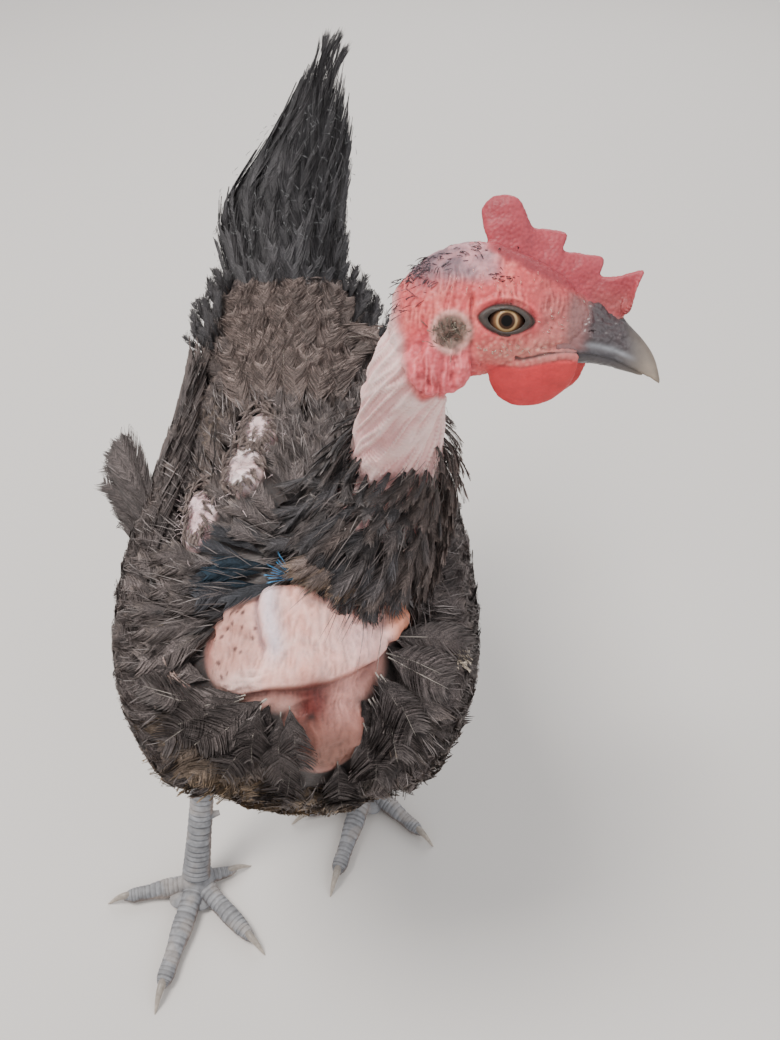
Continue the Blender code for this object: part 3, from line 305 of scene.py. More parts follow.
def new_object(name, points, faces):
    made = bpy.data.objects.new(name, raw_mesh(name, points, faces))
    bpy.context.scene.collection.objects.link(made)
    return made


def coordinates(mesh):
    co = np.empty(len(mesh.vertices) * 3, np.float32)
    mesh.vertices.foreach_get("co", co)
    return co.reshape(-1, 3).astype(float)


def set_coordinates(mesh, points):
    mesh.vertices.foreach_set("co", np.asarray(points, np.float32).ravel())
    mesh.update()


def vertex_normals(mesh):
    mesh.update()
    out = np.empty(len(mesh.vertices) * 3, np.float32)
    mesh.vertex_normals.foreach_get("vector", out)
    return out.reshape(-1, 3).astype(float)


def paint(mesh, colours, name="Tint"):
    layer = mesh.color_attributes.new(name=name, type="FLOAT_COLOR", domain="POINT")
    rows = np.ones((len(mesh.vertices), 4), np.float32)
    rows[:, :3] = colours
    layer.data.foreach_set("color", rows.ravel())


class Tint:
    """Colours at a mesh's points, laid one over another."""

    def __init__(self, colour, count):
        self.rows = np.tile(colour, (count, 1))

    def lay(self, amount, colour):
        amount = clamp(amount)[:, None]
        self.rows = self.rows * (1 - amount) + np.asarray(colour) * amount


def loft(name, rings):
    """A closed skin over rings of equal count, with a fan on each end."""
    rings = [np.asarray(ring) for ring in rings]
    sides, count = len(rings[0]), len(rings)
    points = np.concatenate(rings + [[rings[0].mean(0)], [rings[-1].mean(0)]])
    i = np.arange(sides)
    j = (i + 1) % sides
    quads = np.concatenate([
        np.stack([k * sides + i, k * sides + j, (k + 1) * sides + j, (k + 1) * sides + i], 1)
        for k in range(count - 1)
    ])
    first, last = count * sides, count * sides + 1
    end = (count - 1) * sides
    caps = np.concatenate([
        np.stack([j, i, np.full(sides, first)], 1),
        np.stack([end + i, end + j, np.full(sides, last)], 1),
    ])
    made = new_object(name, points, [quads, caps])
    outwards(made)
    return made


def outwards(obj):
    work = bmesh.new()
    work.from_mesh(obj.data)
    bmesh.ops.recalc_face_normals(work, faces=work.faces)
    if work.calc_volume(signed=True) < 0:
        bmesh.ops.reverse_faces(work, faces=work.faces)
    work.to_mesh(obj.data)
    work.free()


def tube(name, path, radii, sides, rings, first=UP):
    where, thick = smooth_through(path), radius_along(radii)
    made = []
    for k in range(rings):
        t = k / (rings - 1)
        made.append(ring_about(where(t), heading_at(where, t, 0.01), first, thick(t), thick(t), sides))
    return loft(name, made)


def ellipsoid(name, centre, axes, sizes, rings=12, sides=20):
    a, b, c = (unit(axis) for axis in axes)
    made = []
    for k in range(1, rings):
        lean = math.pi * k / rings
        middle = centre + c * sizes[2] * math.cos(lean)
        angles = angles_round(sides)
        made.append(
            middle
            + a * sizes[0] * math.sin(lean) * np.cos(angles)[:, None]
            + b * sizes[1] * math.sin(lean) * np.sin(angles)[:, None]
        )
    return loft(name, made)


def evaluate(obj):
    bpy.context.view_layer.update()
    graph = bpy.context.evaluated_depsgraph_get()
    mesh = bpy.data.meshes.new_from_object(obj.evaluated_get(graph))
    old = obj.data
    obj.modifiers.clear()
    obj.data = mesh
    bpy.data.meshes.remove(old)
    return obj


def remove(*objects):
    for obj in objects:
        bpy.data.objects.remove(obj)


def join(name, pieces):
    """One object with the meshes of all, still separate shells."""
    points, faces, start = [], [], 0
    for piece in pieces:
        co = coordinates(piece.data)
        points.append(co)
        faces += [[v + start for v in polygon.vertices] for polygon in piece.data.polygons]
        start += len(co)
    mesh = bpy.data.meshes.new(name)
    mesh.from_pydata(np.concatenate(points).tolist(), [], faces)
    made = bpy.data.objects.new(name, mesh)
    bpy.context.scene.collection.objects.link(made)
    remove(*pieces)
    return made


def remesh(obj, voxel, smoothing):
    """Melts overlapping shells into one even skin."""
    melt = obj.modifiers.new("Melt", "REMESH")
    melt.mode = "VOXEL"
    melt.voxel_size = voxel
    melt.adaptivity = 0.0
    if smoothing:
        ease = obj.modifiers.new("Ease", "SMOOTH")
        ease.factor = 0.5
        ease.iterations = smoothing
    return evaluate(obj)


def boolean(obj, other, operation):
    change = obj.modifiers.new("Change", "BOOLEAN")
    change.operation = operation
    change.object = other
    change.solver = "MANIFOLD"
    evaluate(obj)
    remove(other)
    return obj


# Materials


def node(tree, kind, **values):
    made = tree.nodes.new(kind)
    for name, value in values.items():
        if name in made.inputs:
            made.inputs[name].default_value = value
        else:
            setattr(made, name, value)
    return made


def tinted(name, roughness, specular=0.5, subsurface=0.0, mottle=(0.0, 60.0), bumps=(), coat=0.0,
           deep=(0.8, 0.2, 0.1), barbs=0.0):
    """A finish whose colour is the mesh's own tint, varied by noise, with bumps of several scales."""
    made = bpy.data.materials.new(name)
    made.use_nodes = True
    tree = made.node_tree
    shader = tree.nodes["Principled BSDF"]
    shader.inputs["Roughness"].default_value = roughness
    shader.inputs["Specular IOR Level"].default_value = specular
    shader.inputs["Coat Weight"].default_value = coat
    shader.inputs["Coat Roughness"].default_value = 0.12
    shader.inputs["Subsurface Weight"].default_value = subsurface
    shader.inputs["Subsurface Radius"].default_value = deep
    shader.inputs["Subsurface Scale"].default_value = 0.002
    where = node(tree, "ShaderNodeTexCoord")
    tint = node(tree, "ShaderNodeAttribute", attribute_name="Tint")
    colour = tint.outputs["Color"]
    last = None

    def scale_by(colour, value, low, high, least, most):
        spread = node(tree, "ShaderNodeMapRange")
        for socket, number in zip(("From Min", "From Max", "To Min", "To Max"), (low, high, least, most)):
            spread.inputs[socket].default_value = number
        tree.links.new(value, spread.inputs["Value"])
        scaled = node(tree, "ShaderNodeVectorMath", operation="SCALE")
        tree.links.new(colour, scaled.inputs[0])
        tree.links.new(spread.outputs["Result"], scaled.inputs["Scale"])
        return scaled.outputs["Vector"]

    def raise_by(height, strength, last):
        bump = node(tree, "ShaderNodeBump", Strength=strength, Distance=0.0004)
        tree.links.new(height, bump.inputs["Height"])
        if last:
            tree.links.new(last.outputs["Normal"], bump.inputs["Normal"])
        return bump

    if mottle[0]:
        grain = node(tree, "ShaderNodeTexNoise", Scale=mottle[1], Detail=4.0, Roughness=0.6)
        tree.links.new(where.outputs["Object"], grain.inputs["Vector"])
        colour = scale_by(colour, grain.outputs["Fac"], 0.3, 0.7, 1 - mottle[0], 1 + mottle[0])
    if barbs:
        lie = node(tree, "ShaderNodeAttribute", attribute_name="Barb")
        strands = node(tree, "ShaderNodeTexNoise", Scale=1.0, Detail=3.0, Roughness=0.65)
        tree.links.new(lie.outputs["Vector"], strands.inputs["Vector"])
        colour = scale_by(colour, strands.outputs["Fac"], 0.36, 0.72, 1 - 0.62 * barbs, 1 + 1.5 * barbs)
        last = raise_by(strands.outputs["Fac"], 0.6, last)
    tree.links.new(colour, shader.inputs["Base Color"])
    for kind, size, strength in bumps:
        if kind == "cells":
            pattern = node(tree, "ShaderNodeTexVoronoi", Scale=size)
            out = pattern.outputs["Distance"]
        else:
            pattern = node(tree, "ShaderNodeTexNoise", Scale=size, Detail=3.0)
            out = pattern.outputs["Fac"]
        tree.links.new(where.outputs["Object"], pattern.inputs["Vector"])
        last = raise_by(out, strength, last)
    if last:
        tree.links.new(last.outputs["Normal"], shader.inputs["Normal"])
    return made


FINISHES = {
    "feather": tinted("feather_finish", 0.62, specular=0.22, mottle=(0.22, 160.0), barbs=1.0),
    "tail": tinted("tail_finish", 0.5, specular=0.28, mottle=(0.2, 140.0), barbs=0.9),
    "skin": tinted("skin_finish", 0.5, specular=0.32, subsurface=0.08, mottle=(0.1, 240.0),
                   bumps=(("cells", 900.0, 0.3), ("noise", 600.0, 0.35))),
    "scales": tinted("scale_finish", 0.62, specular=0.3, mottle=(0.2, 260.0),
                     bumps=(("noise", 900.0, 0.4),)),
    "horn": tinted("horn_finish", 0.36, specular=0.45, mottle=(0.12, 300.0),
                   bumps=(("noise", 500.0, 0.25),)),
    "eye": tinted("eye_finish", 0.12, specular=0.1, coat=0.06, mottle=(0.12, 900.0)),
}


def finish(obj, kind, slot, *replaced, smooth=True):
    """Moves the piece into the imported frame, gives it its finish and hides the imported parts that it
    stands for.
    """
    set_coordinates(obj.data, coordinates(obj.data) - CENTRE)
    obj.data.materials.clear()
    obj.data.materials.append(FINISHES[kind])
    if smooth:
        obj.data.shade_smooth()
    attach(obj, "root")
    if replaced:
        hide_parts(*replaced)
    return obj


# The trunk, wings and tail as surfaces

torso_row = smooth_through(TORSO_STATIONS)


def torso_frame(s):
    row = torso_row(s)
    along = unit(torso_row(s + 0.01)[:3] - torso_row(s - 0.01)[:3])
    upward = unit(UP - np.dot(UP, along) * along)
    return row[:3], upward, row[3], row[4], row[5]


def torso_raw(s, angle):
    centre, upward, half, above, below = torso_frame(s)
    height = above if math.cos(angle) > 0 else below
    point = centre + SIDEWAYS * half * math.sin(angle) + upward * height * math.cos(angle)
    turn = (angle - CROP_SPOT[1] + math.pi) % TAU - math.pi
    swell = math.exp(-(((s - CROP_SPOT[0]) / CROP_SPREAD[0]) ** 2) - (turn / CROP_SPREAD[1]) ** 2)
    return point + unit(point - centre) * CROP_BULGE * swell


def torso_place(s, angle, lift):
    step = 0.012
    s_in = min(max(s, step), 1 - step)
    point = torso_raw(s, angle)
    forward = torso_raw(s_in + step, angle) - torso_raw(s_in - step, angle)
    around = torso_raw(s_in, angle + step) - torso_raw(s_in, angle - step)
    normal = unit(np.cross(around, forward))
    if np.dot(normal, point - torso_frame(s_in)[0]) < 0:
        normal = -normal
    return point + normal * lift, normal


def wing_spot(side, u, v):
    """Where a place on the wing lies on the trunk: along it, round it, and how far the wing flares there."""
    low, high = read_off(WING_LOWER, u), read_off(WING_UPPER, u)
    flare = WING_FLARE * max(u - 0.45, 0.0) ** 2 / 0.3
    along = WING_ALONG[0] + (WING_ALONG[1] - WING_ALONG[0]) * u
    return along, side * math.radians(low + (high - low) * v), flare


tail_row = smooth_through(TAIL_OUTLINE)
TAIL_UPRIGHT = unit(UP - np.dot(UP, unit(TAIL_TIP - TAIL_ROOT)) * unit(TAIL_TIP - TAIL_ROOT))


def tail_raw(share, fold, shrink=1.0):
    places = [row[0] for row in TAIL_OUTLINE]
    knot = float(np.interp(share, places, range(len(places)))) / (len(places) - 1)
    _, sideways, half, high = tail_row(knot)
    ridge = TAIL_ROOT + (TAIL_TIP - TAIL_ROOT) * share + TAIL_UPRIGHT * TAIL_RAISE * (1 - share)
    ridge[0] = sideways
    angle = fold * TAIL_FOLD
    wide = half * shrink * math.sin(angle) * (0.97 - 0.12 * math.cos(angle))
    drop = high * shrink * (1 - math.cos(angle)) / 2 + (1 - shrink) * high / 2
    return ridge + SIDEWAYS * wide - TAIL_UPRIGHT * drop


def tail_place(share, fold, lift):
    step = 0.02
    ahead = tail_raw(share + step, fold) - tail_raw(share - step, fold)
    around = tail_raw(share, fold + step) - tail_raw(share, fold - step)
    normal = unit(np.cross(ahead, around))
    if np.dot(normal, TAIL_UPRIGHT) < 0 and abs(fold) < 0.6:
        normal = -normal
    return tail_raw(share, fold) + normal * lift, normal


def bare_share(point):
    """How bare the trunk is at a point, from 0, feathered, to 1, naked."""
    most = 0.0
    for centre, half in BARE_PATCHES:
        away = math.sqrt(sum(((p - c) / h) ** 2 for p, c, h in zip(point, centre, half)))
        most = max(most, 1.0 - float(ramp(0.85, 1.15, away)))
    return most


def torso_rings(rows, sides, depth):
    """Rings of the trunk, sunk under the plumage by a depth that the bare patches don't have."""
    rings = []
    for k in range(rows):
        s = (k / (rows - 1)) ** GRADING
        centre = torso_frame(min(max(s, 0.012), 0.988))[0]
        ring = []
        for i in range(sides):
            point = torso_raw(s, TAU * i / sides)
            sunk = depth * (1 - 0.85 * bare_share(point)) if depth else 0.0
            inward = centre - point
            far = np.linalg.norm(inward)
            ring.append(point + inward / max(far, 1e-6) * min(sunk, far * 0.7))
        rings.append(np.array(ring))
    rear = rings[-1]
    middle = rear.mean(0)
    along = unit(middle - rings[-2].mean(0))
    for share, out in RUMP_CAP:
        rings.append(middle + (rear - middle) * share + along * (out - depth * 0.5))
    return rings


def wing_core(side, sunk):
    """The folded wing's flesh, a shell on the trunk's flank, sunk under its feathers."""

    def place(u, v, lift):
        s, angle, flare = wing_spot(side, u, v)
        return torso_place(s, angle, WING_REST + flare + lift)

    columns, rows = 26, 18
    outer, inner = [], []
    for i in range(columns):
        share = i / (columns - 1)
        u = -0.03 + (WING_CORE_END + 0.03) * share
        thick = float(np.interp(share, (0, 0.3, 0.75, 1), WING_CORE_THICK)) - sunk
        for j in range(rows):
            v = 0.06 + 0.9 * j / (rows - 1)
            round_off = 1 - 0.75 * abs(2 * j / (rows - 1) - 1) ** 3
            round_off *= 1 - 0.6 * max(1 - share / 0.12, 0) ** 2
            outer.append(place(u, v, max(thick * round_off, 0.0005))[0])
            inner.append(place(u, v, -0.01)[0])
    count = columns * rows
    faces = []
    for i in range(columns - 1):
        for j in range(rows - 1):
            a, b = i * rows + j, i * rows + j + 1
            c, d = (i + 1) * rows + j + 1, (i + 1) * rows + j
            faces += [(a, b, c, d), (count + a, count + d, count + c, count + b)]
    edge = list(range(rows))
    edge += [i * rows + rows - 1 for i in range(1, columns)]
    edge += [(columns - 1) * rows + j for j in range(rows - 2, -1, -1)]
    edge += [i * rows for i in range(columns - 2, 0, -1)]
    for k, a in enumerate(edge):
        b = edge[(k + 1) % len(edge)]
        faces.append((a, count + a, count + b, b))
    made = new_object("wing_core", np.array(outer + inner), np.array(faces))
    outwards(made)
    return made


neck_where = smooth_through(NECK_PATH)
neck_thick = radius_along(NECK_RADII)


def collar_ring(t, growth, sides):
    share = (t - COLLAR_FOOT) / (COLLAR_TOP - COLLAR_FOOT)
    radius = neck_thick(t) + float(np.interp(share, (0, 0.6, 1), growth))
    return ring_about(neck_where(t), heading_at(neck_where, t, 0.02), FORWARD, radius, radius, sides)


def thigh_path(label):
    leg = LEGS[label]
    hip, hock = np.array(leg["hip"]), np.array(leg["hock"])
    knee = (hip + hock) / 2 + np.array([0.0, -0.012, 0.004])
    inside = hip + np.array([-0.45 * hip[0], 0.004, 0.014])
    shin = (knee + hock) / 2 + np.array([0.0, -0.002, 0.0])
    return (inside, hip, (hip + knee) / 2, knee, shin, hock)


# The head


def head_axes():
    forward = np.array([
        math.sin(HEAD_YAW) * math.cos(HEAD_PITCH),
        -math.cos(HEAD_YAW) * math.cos(HEAD_PITCH),
        math.sin(HEAD_PITCH),
    ])
    level = unit(np.cross(UP, forward))
    upright = np.cross(forward, level)
    dorsal = math.cos(HEAD_ROLL) * upright + math.sin(HEAD_ROLL) * level
    return forward, dorsal, np.cross(forward, dorsal)


FORWARD, DORSAL, RIGHT = head_axes()
HEAD_FRAME = np.stack([FORWARD, DORSAL, RIGHT])


def on_head(forward, dorsal, right):
    return HEAD_ORIGIN + FORWARD * forward + DORSAL * dorsal + RIGHT * right


def in_head(points):
    return (points - HEAD_ORIGIN) @ HEAD_FRAME.T


def head_half_width(forward):
    places, halves = zip(*[(row[0], row[3]) for row in HEAD_STATIONS])
    return float(np.interp(forward, places, halves))


def mouth_height(forward):
    return read_off(MOUTH_LINE, forward)


def head_shell():
    station = smooth_through(HEAD_STATIONS)
    rings, sides = [], 64
    for k in range(64):
        forward, top, bottom, half = station(k / 63)
        middle, height = (top + bottom) / 2, (top - bottom) / 2
        angles = angles_round(sides)
        c, s = np.cos(angles), np.sin(angles)
        dorsal = middle + height * np.sign(c) * np.abs(c) ** 0.88
        right = half * np.sign(s) * np.abs(s) ** 0.88
        rings.append(
            HEAD_ORIGIN + FORWARD * forward + dorsal[:, None] * DORSAL + right[:, None] * RIGHT)
    return loft("head_shell", rings)


def comb_shell():
    base = smooth_through([a for a, _ in COMB_COLUMNS])
    edge = smooth_through([b for _, b in COMB_COLUMNS])
    levels = np.array([-0.25, 0.0, 0.25, 0.45, 0.62, 0.76, 0.88, 0.96, 1.0])
    rings = []
    count = 120
    for k in range(count):
        (base_f, base_d), (edge_f, edge_d) = base(k / (count - 1)), edge(k / (count - 1))
        right, left = [], []
        for level in levels:
            share = max(level, 0.0)
            thick = COMB_THICK_BASE + (COMB_THICK_EDGE - COMB_THICK_BASE) * share
            thick *= math.sqrt(max(1 - ((share - 0.86) / 0.145) ** 2, 0.04)) if share > 0.86 else 1.0
            front = min(max((base_f - 0.016) / 0.016, 0.0), 1.0)
            lean = COMB_LEAN * share * share * (2.2 * front - 0.5)
            lean += 0.0009 * math.sin(base_f * 420.0 + 1.3) * share
            forward = base_f + (edge_f - base_f) * level
            dorsal = base_d + (edge_d - base_d) * level
            right.append(on_head(forward, dorsal, lean + thick / 2))
            left.append(on_head(forward, dorsal, lean - thick / 2))
        rings.append(np.array(right + left[::-1]))
    return loft("comb_shell", rings)


def wattle_shell(side):
    rings, rows = [], 34
    for k in range(rows):
        t = k / (rows - 1)
        drop = 0.0194 * t - 0.005
        wide = 0.0128 * math.sqrt(max(1 - (max(t - 0.3, 0) / 0.71) ** 2.2, 0.01))
        wide *= 0.9 + 0.1 * min(t / 0.25, 1)
        middle_f = 0.01 - 0.003 * t + (0.0034 if side < 0 else 0.0)
        root = on_head(middle_f, mouth_height(middle_f) - 0.0018, side * 0.006)
        bow = RIGHT * side * 0.0016 * math.sin(math.pi * t)
        thick = 0.0036 * (0.8 + 0.2 * math.sin(math.pi * t))
        thick *= 0.5 if k == rows - 1 else 1.0
        rings.append(ring_about(root - UP * drop + bow, -UP, FORWARD, wide, thick / 2, 56))
    return loft("wattle_shell", rings)


def crests(points, scale, seed=0.0, sharp=2.4):
    """Narrow winding crests: 1 along each, falling to 0 beside it."""
    return np.clip(1.0 - sharp * np.abs(bumpy(points, scale, seed)), 0.0, 1.0)


def hollows(mesh):
    """How far each point lies below its neighbours, in metres: more than 0 in a crease."""
    points, normals = coordinates(mesh), vertex_normals(mesh)
    pairs = np.empty(len(mesh.edges) * 2, np.int32)
    mesh.edges.foreach_get("vertices", pairs)
    a, b = pairs.reshape(-1, 2).T

    def mean(values):
        total, count = np.zeros_like(values), np.zeros(len(values))
        for i, j in ((a, b), (b, a)):
            for axis in range(values.shape[1]):
                total[:, axis] += np.bincount(i, values[j, axis], len(values))
            count += np.bincount(i, minlength=len(values))
        return total / np.maximum(count, 1)[:, None]

    wide = mean(mean(points))
    return ((wide - points) * normals).sum(1)


NECK_TWIST = -3.4


LIP_LINE = (
    (-0.03, 38.0), (-0.015, 39.0), (-0.001, 42.8), (0.011, 43.4), (0.021, 44.5), (0.028, 46.6),
    (0.037, 50.2), (0.046, 64.0),
)


def breast_angle(points):
    """How high on the breast each point lies, in degrees up from level, and above the crop's lip."""
    angle = np.degrees(np.arctan2(points[:, 2] - 0.2, -(points[:, 1] + 0.1)))
    return angle, angle - np.interp(points[:, 0], *zip(*LIP_LINE))


def bumpy(points, scale, seed=0.0):
    """Noise from about -1 to 1 at each point."""
    shift = Vector((seed, seed * 0.7, seed * 0.3))
    return np.array([noise.noise(Vector(p) * scale + shift) for p in points])


def pebbly(points, scale):
    """How near each point is to the middle of its own small lump, from 0 to about 1."""
    return np.array([1.0 - 1.6 * noise.voronoi(Vector(p) * scale)[0][0] for p in points])


def neck_coordinates(points):
    """Share of the neck's length and angle round it at each point."""
    samples = np.array([neck_where(t) for t in np.linspace(0, 1, 80)])
    alongs = units(np.gradient(samples, axis=0))
    nearest = np.argmin(((points[:, None] - samples[None]) ** 2).sum(2), axis=1)
    away = points - samples[nearest]
    first = units(FORWARD - (alongs[nearest] @ FORWARD)[:, None] * alongs[nearest])
    second = np.cross(alongs[nearest], first)
    angle = np.arctan2((away * second).sum(1), (away * first).sum(1))
    return nearest / 79.0, angle


def make_skin():
    """One skin from the comb to the thighs, smooth where feathers hide it and detailed where it is bare."""
    pieces = [head_shell(), comb_shell(), wattle_shell(1), wattle_shell(-1)]
    for side in (1, -1):
        half = head_half_width(LOBE_SPOT[0])
        middle = on_head(*LOBE_SPOT, side * (half - 0.0035))
        pieces.append(ellipsoid("lobe", middle, (FORWARD, DORSAL, RIGHT), LOBE_SIZE, 16, 24))
        pieces.append(ellipsoid(
            "lids", on_head(0.0003, 0.0, side * EYE_OUT), (FORWARD, DORSAL, RIGHT),
            (0.008, 0.0066, 0.007), 20, 32))
    pieces.append(tube("throat", NECK_PATH, NECK_RADII, 48, 90))
    head = remesh(join("head_part", pieces), HEAD_VOXEL, 3)

    pieces = [loft("trunk", torso_rings(72, 90, COAT_DEEP))]
    pieces += [wing_core(side, 0.004) for side in (1, -1)]
    for label in LEGS:
        radii = [max(r - 0.005, 0.006) for r in THIGH_RADII]
        pieces.append(tube("thigh", thigh_path(label), radii, 24, 30))
    growth = (0.0055, 0.002, -0.001)
    rings = [collar_ring(t, growth, 40) for t in np.linspace(COLLAR_FOOT, COLLAR_TOP, 16)]
    pieces.append(loft("ruff_root", rings))
    body = remesh(join("body_part", pieces), BODY_VOXEL, 4)
    refine_breast(body)
    skin = boolean(body, head, "UNION")
    skin.name = "skin"
    for side in (1, -1):
        eye = on_head(0.0, 0.0, side * EYE_OUT)
        boolean(skin, ellipsoid(
            "socket", eye, (FORWARD, DORSAL, RIGHT), [EYE_RADIUS + 0.0001] * 3, 24, 40), "DIFFERENCE")
        rings = []
        for out in (0.0075, 0.02):
            angles = angles_round(48)
            reach = 0.0053 * np.cos(angles)
            high = np.where(np.sin(angles) > 0, 0.0029, 0.0036) * np.sin(angles)
            high *= 1 - 0.3 * np.abs(np.cos(angles)) ** 3
            rings.append(np.array([on_head(f, d, side * out) for f, d in zip(reach, high)]))
        boolean(skin, loft("lid_opening", rings), "DIFFERENCE")
    return skin


def refine_breast(body):
    """Halves the faces of the bare breast, whose folds are finer than the rest."""
    work = bmesh.new()
    work.from_mesh(body.data)

    def inside(vertex):
        x, y, z = vertex.co
        return y < -0.1 and z > 0.205 and bare_share((x, y, z)) > 0.02

    chosen = {vertex for vertex in work.verts if inside(vertex)}
    edges = [edge for edge in work.edges if edge.verts[0] in chosen and edge.verts[1] in chosen]
    bmesh.ops.subdivide_edges(work, edges=edges, cuts=1, use_grid_fill=True)
    bmesh.ops.triangulate(work, faces=[face for face in work.faces if len(face.verts) > 4])
    near = [vertex for vertex in work.verts if inside(vertex)]
    for _ in range(14):
        bmesh.ops.smooth_vert(work, verts=near, factor=0.5, use_axis_x=True, use_axis_y=True, use_axis_z=True)
    work.to_mesh(body.data)
    work.free()


def detail_skin(skin):
    """Creases, pebbles and follicles, and the skin's colours."""
    points = coordinates(skin.data)
    normals = vertex_normals(skin.data)
    local = in_head(points)
    f, d, r = local.T
    side = np.abs(r)
    t, angle = neck_coordinates(points)
    count = len(points)

    def noisy(where, maker, rows, *settings):
        """A pattern of the rows given, worked out only where it will be used."""
        out = np.zeros(count)
        chosen = np.nonzero(where > 0.01)[0]
        if len(chosen):
            out[chosen] = maker(rows[chosen], *settings)
        return out

    head = ((f > -0.037) & (f < 0.05) & (np.abs(d) < 0.05) & (side < 0.03)).astype(float)
    ragged = 0.0012 * noisy(head, bumpy, points, 160.0, 9.0)
    head *= ramp(-0.033, -0.027, f + 0.25 * (d + 0.004) + ragged)
    head *= np.where(f < -0.006, ramp(-0.0262, -0.0236, d - 0.0008 * np.sin(f * 900)), 1.0)
    on_neck = (1 - head) * (t > 0.24) * (points[:, 2] > 0.27) * (points[:, 1] < -0.06)
    body = (1 - head) * (1 - on_neck)
    above = d - np.interp(f, [row[0] for row in HEAD_STATIONS], [row[1] for row in HEAD_STATIONS])
    comb = head * ramp(-0.001, 0.0012, above) * (f > -0.013) * (side < 0.008)
    comb_foot = d - np.interp(f, (-0.008, 0.0, 0.02, 0.0366), (0.019, 0.0158, 0.0088, 0.003))
    ragged = 0.001 * noisy(head, bumpy, points, 200.0, 21.0)
    rooted = ramp(-0.0008, 0.0016, comb_foot + ragged) * ramp(-0.009, -0.0055, f)
    comb = np.maximum(comb, head * rooted)
    drop = np.interp(f, *zip(*MOUTH_LINE)) - d
    wattle = head * ramp(0.0018, 0.0034, drop) * (f > -0.0055) * (side < 0.011)
    wattle *= ramp(-0.0058, -0.003, f - 0.15 * drop)
    lobe_away = np.sqrt(((f - LOBE_SPOT[0]) / 0.012) ** 2 + ((d - LOBE_SPOT[1]) / 0.01) ** 2)
    lobe = head * ramp(1.15, 0.75, lobe_away)
    face = head * (1 - comb) * (1 - wattle)
    cheek = face * (side > 0.004)
    eye_away = ((np.abs(f) / 0.0081) ** 2 + (np.abs(d) / 0.0044) ** 1.45) ** 0.6
    ear_away = np.sqrt((f - EAR_SPOT[0]) ** 2 + (d - EAR_SPOT[1]) ** 2)
    open_face = ramp(0.95, 1.25, eye_away)

    fine = noisy(head, pebbly, points, 620.0)
    coarse = noisy(head, bumpy, points, 240.0)
    pleats = noisy(face, crests, local * (1.0, 0.28, 0.28), 560.0, 3.0)
    folds = noisy(lobe, bumpy, local * (1.0, 0.55, 1.0), 190.0, 6.0)
    folds += 0.5 * noisy(lobe, bumpy, local * (1.0, 0.7, 1.0), 380.0, 7.0)
    upper = ramp(-0.004, 0.004, d) + ramp(-0.006, -0.014, f)
    moved = face * open_face * (0.00022 * fine + 0.00045 * coarse)
    pleats *= clamp(0.55 + 1.5 * noisy(face, bumpy, points, 150.0, 15.0))
    moved += cheek * open_face * clamp(0.4 + upper) * 0.00048 * (pleats - 0.3)
    grains = noisy(comb, pebbly, points, 1000.0)
    moved += comb * (0.00014 * grains + 0.00045 * coarse)
    moved += comb * (side > 0.0035) * bell(comb_foot, 0.0022, 0.0018) * 0.0008
    moved += wattle * (0.00006 * fine + 0.0004 * coarse)
    moved += lobe * 0.0021 * folds
    moved -= cheek * 0.0014 * bell(ear_away, 0.0, 0.0042)
    moved += cheek * 0.0006 * bell(ear_away, 0.0054, 0.0014)
    behind_eye = bell(f + 0.01 + 0.1 * d, 0.0, 0.0012) * ramp(0.011, 0.006, np.abs(d + 0.001))
    moved -= cheek * 0.0011 * behind_eye
    mouth = cheek * (f > 0.0035) * bell(drop, 0.0, 0.0006)
    moved -= mouth * 0.0006
    jaw = cheek * bell(drop, 0.003, 0.0008) * (f > -0.006) * (f < 0.02)
    moved -= jaw * 0.0004
    brow = cheek * bell(eye_away, 1.3, 0.16) * ramp(-0.001, 0.002, d)
    moved += brow * 0.0007
    rim = cheek * bell(eye_away, 0.8, 0.09)
    moved += rim * 0.00025
    groove = cheek * bell(eye_away, 1.02, 0.07)
    moved -= groove * 0.00045

    twist = angle + NECK_TWIST * t
    around = np.stack([np.cos(twist), np.sin(twist), t * 0.9], 1)
    ropes = noisy(on_neck, crests, around, 2.1, 5.0, 5.0)
    ropes = np.maximum(ropes, 0.8 * noisy(on_neck, crests, around, 3.1, 2.0, 6.0))
    threads = noisy(on_neck, crests, around * (1.0, 1.0, 0.5), 6.5, 7.0, 3.4)
    pores = noisy(on_neck, bumpy, points, 260.0, 4.0)
    moved += on_neck * (0.0011 * ropes + 0.00026 * threads + 0.00022 * pores)

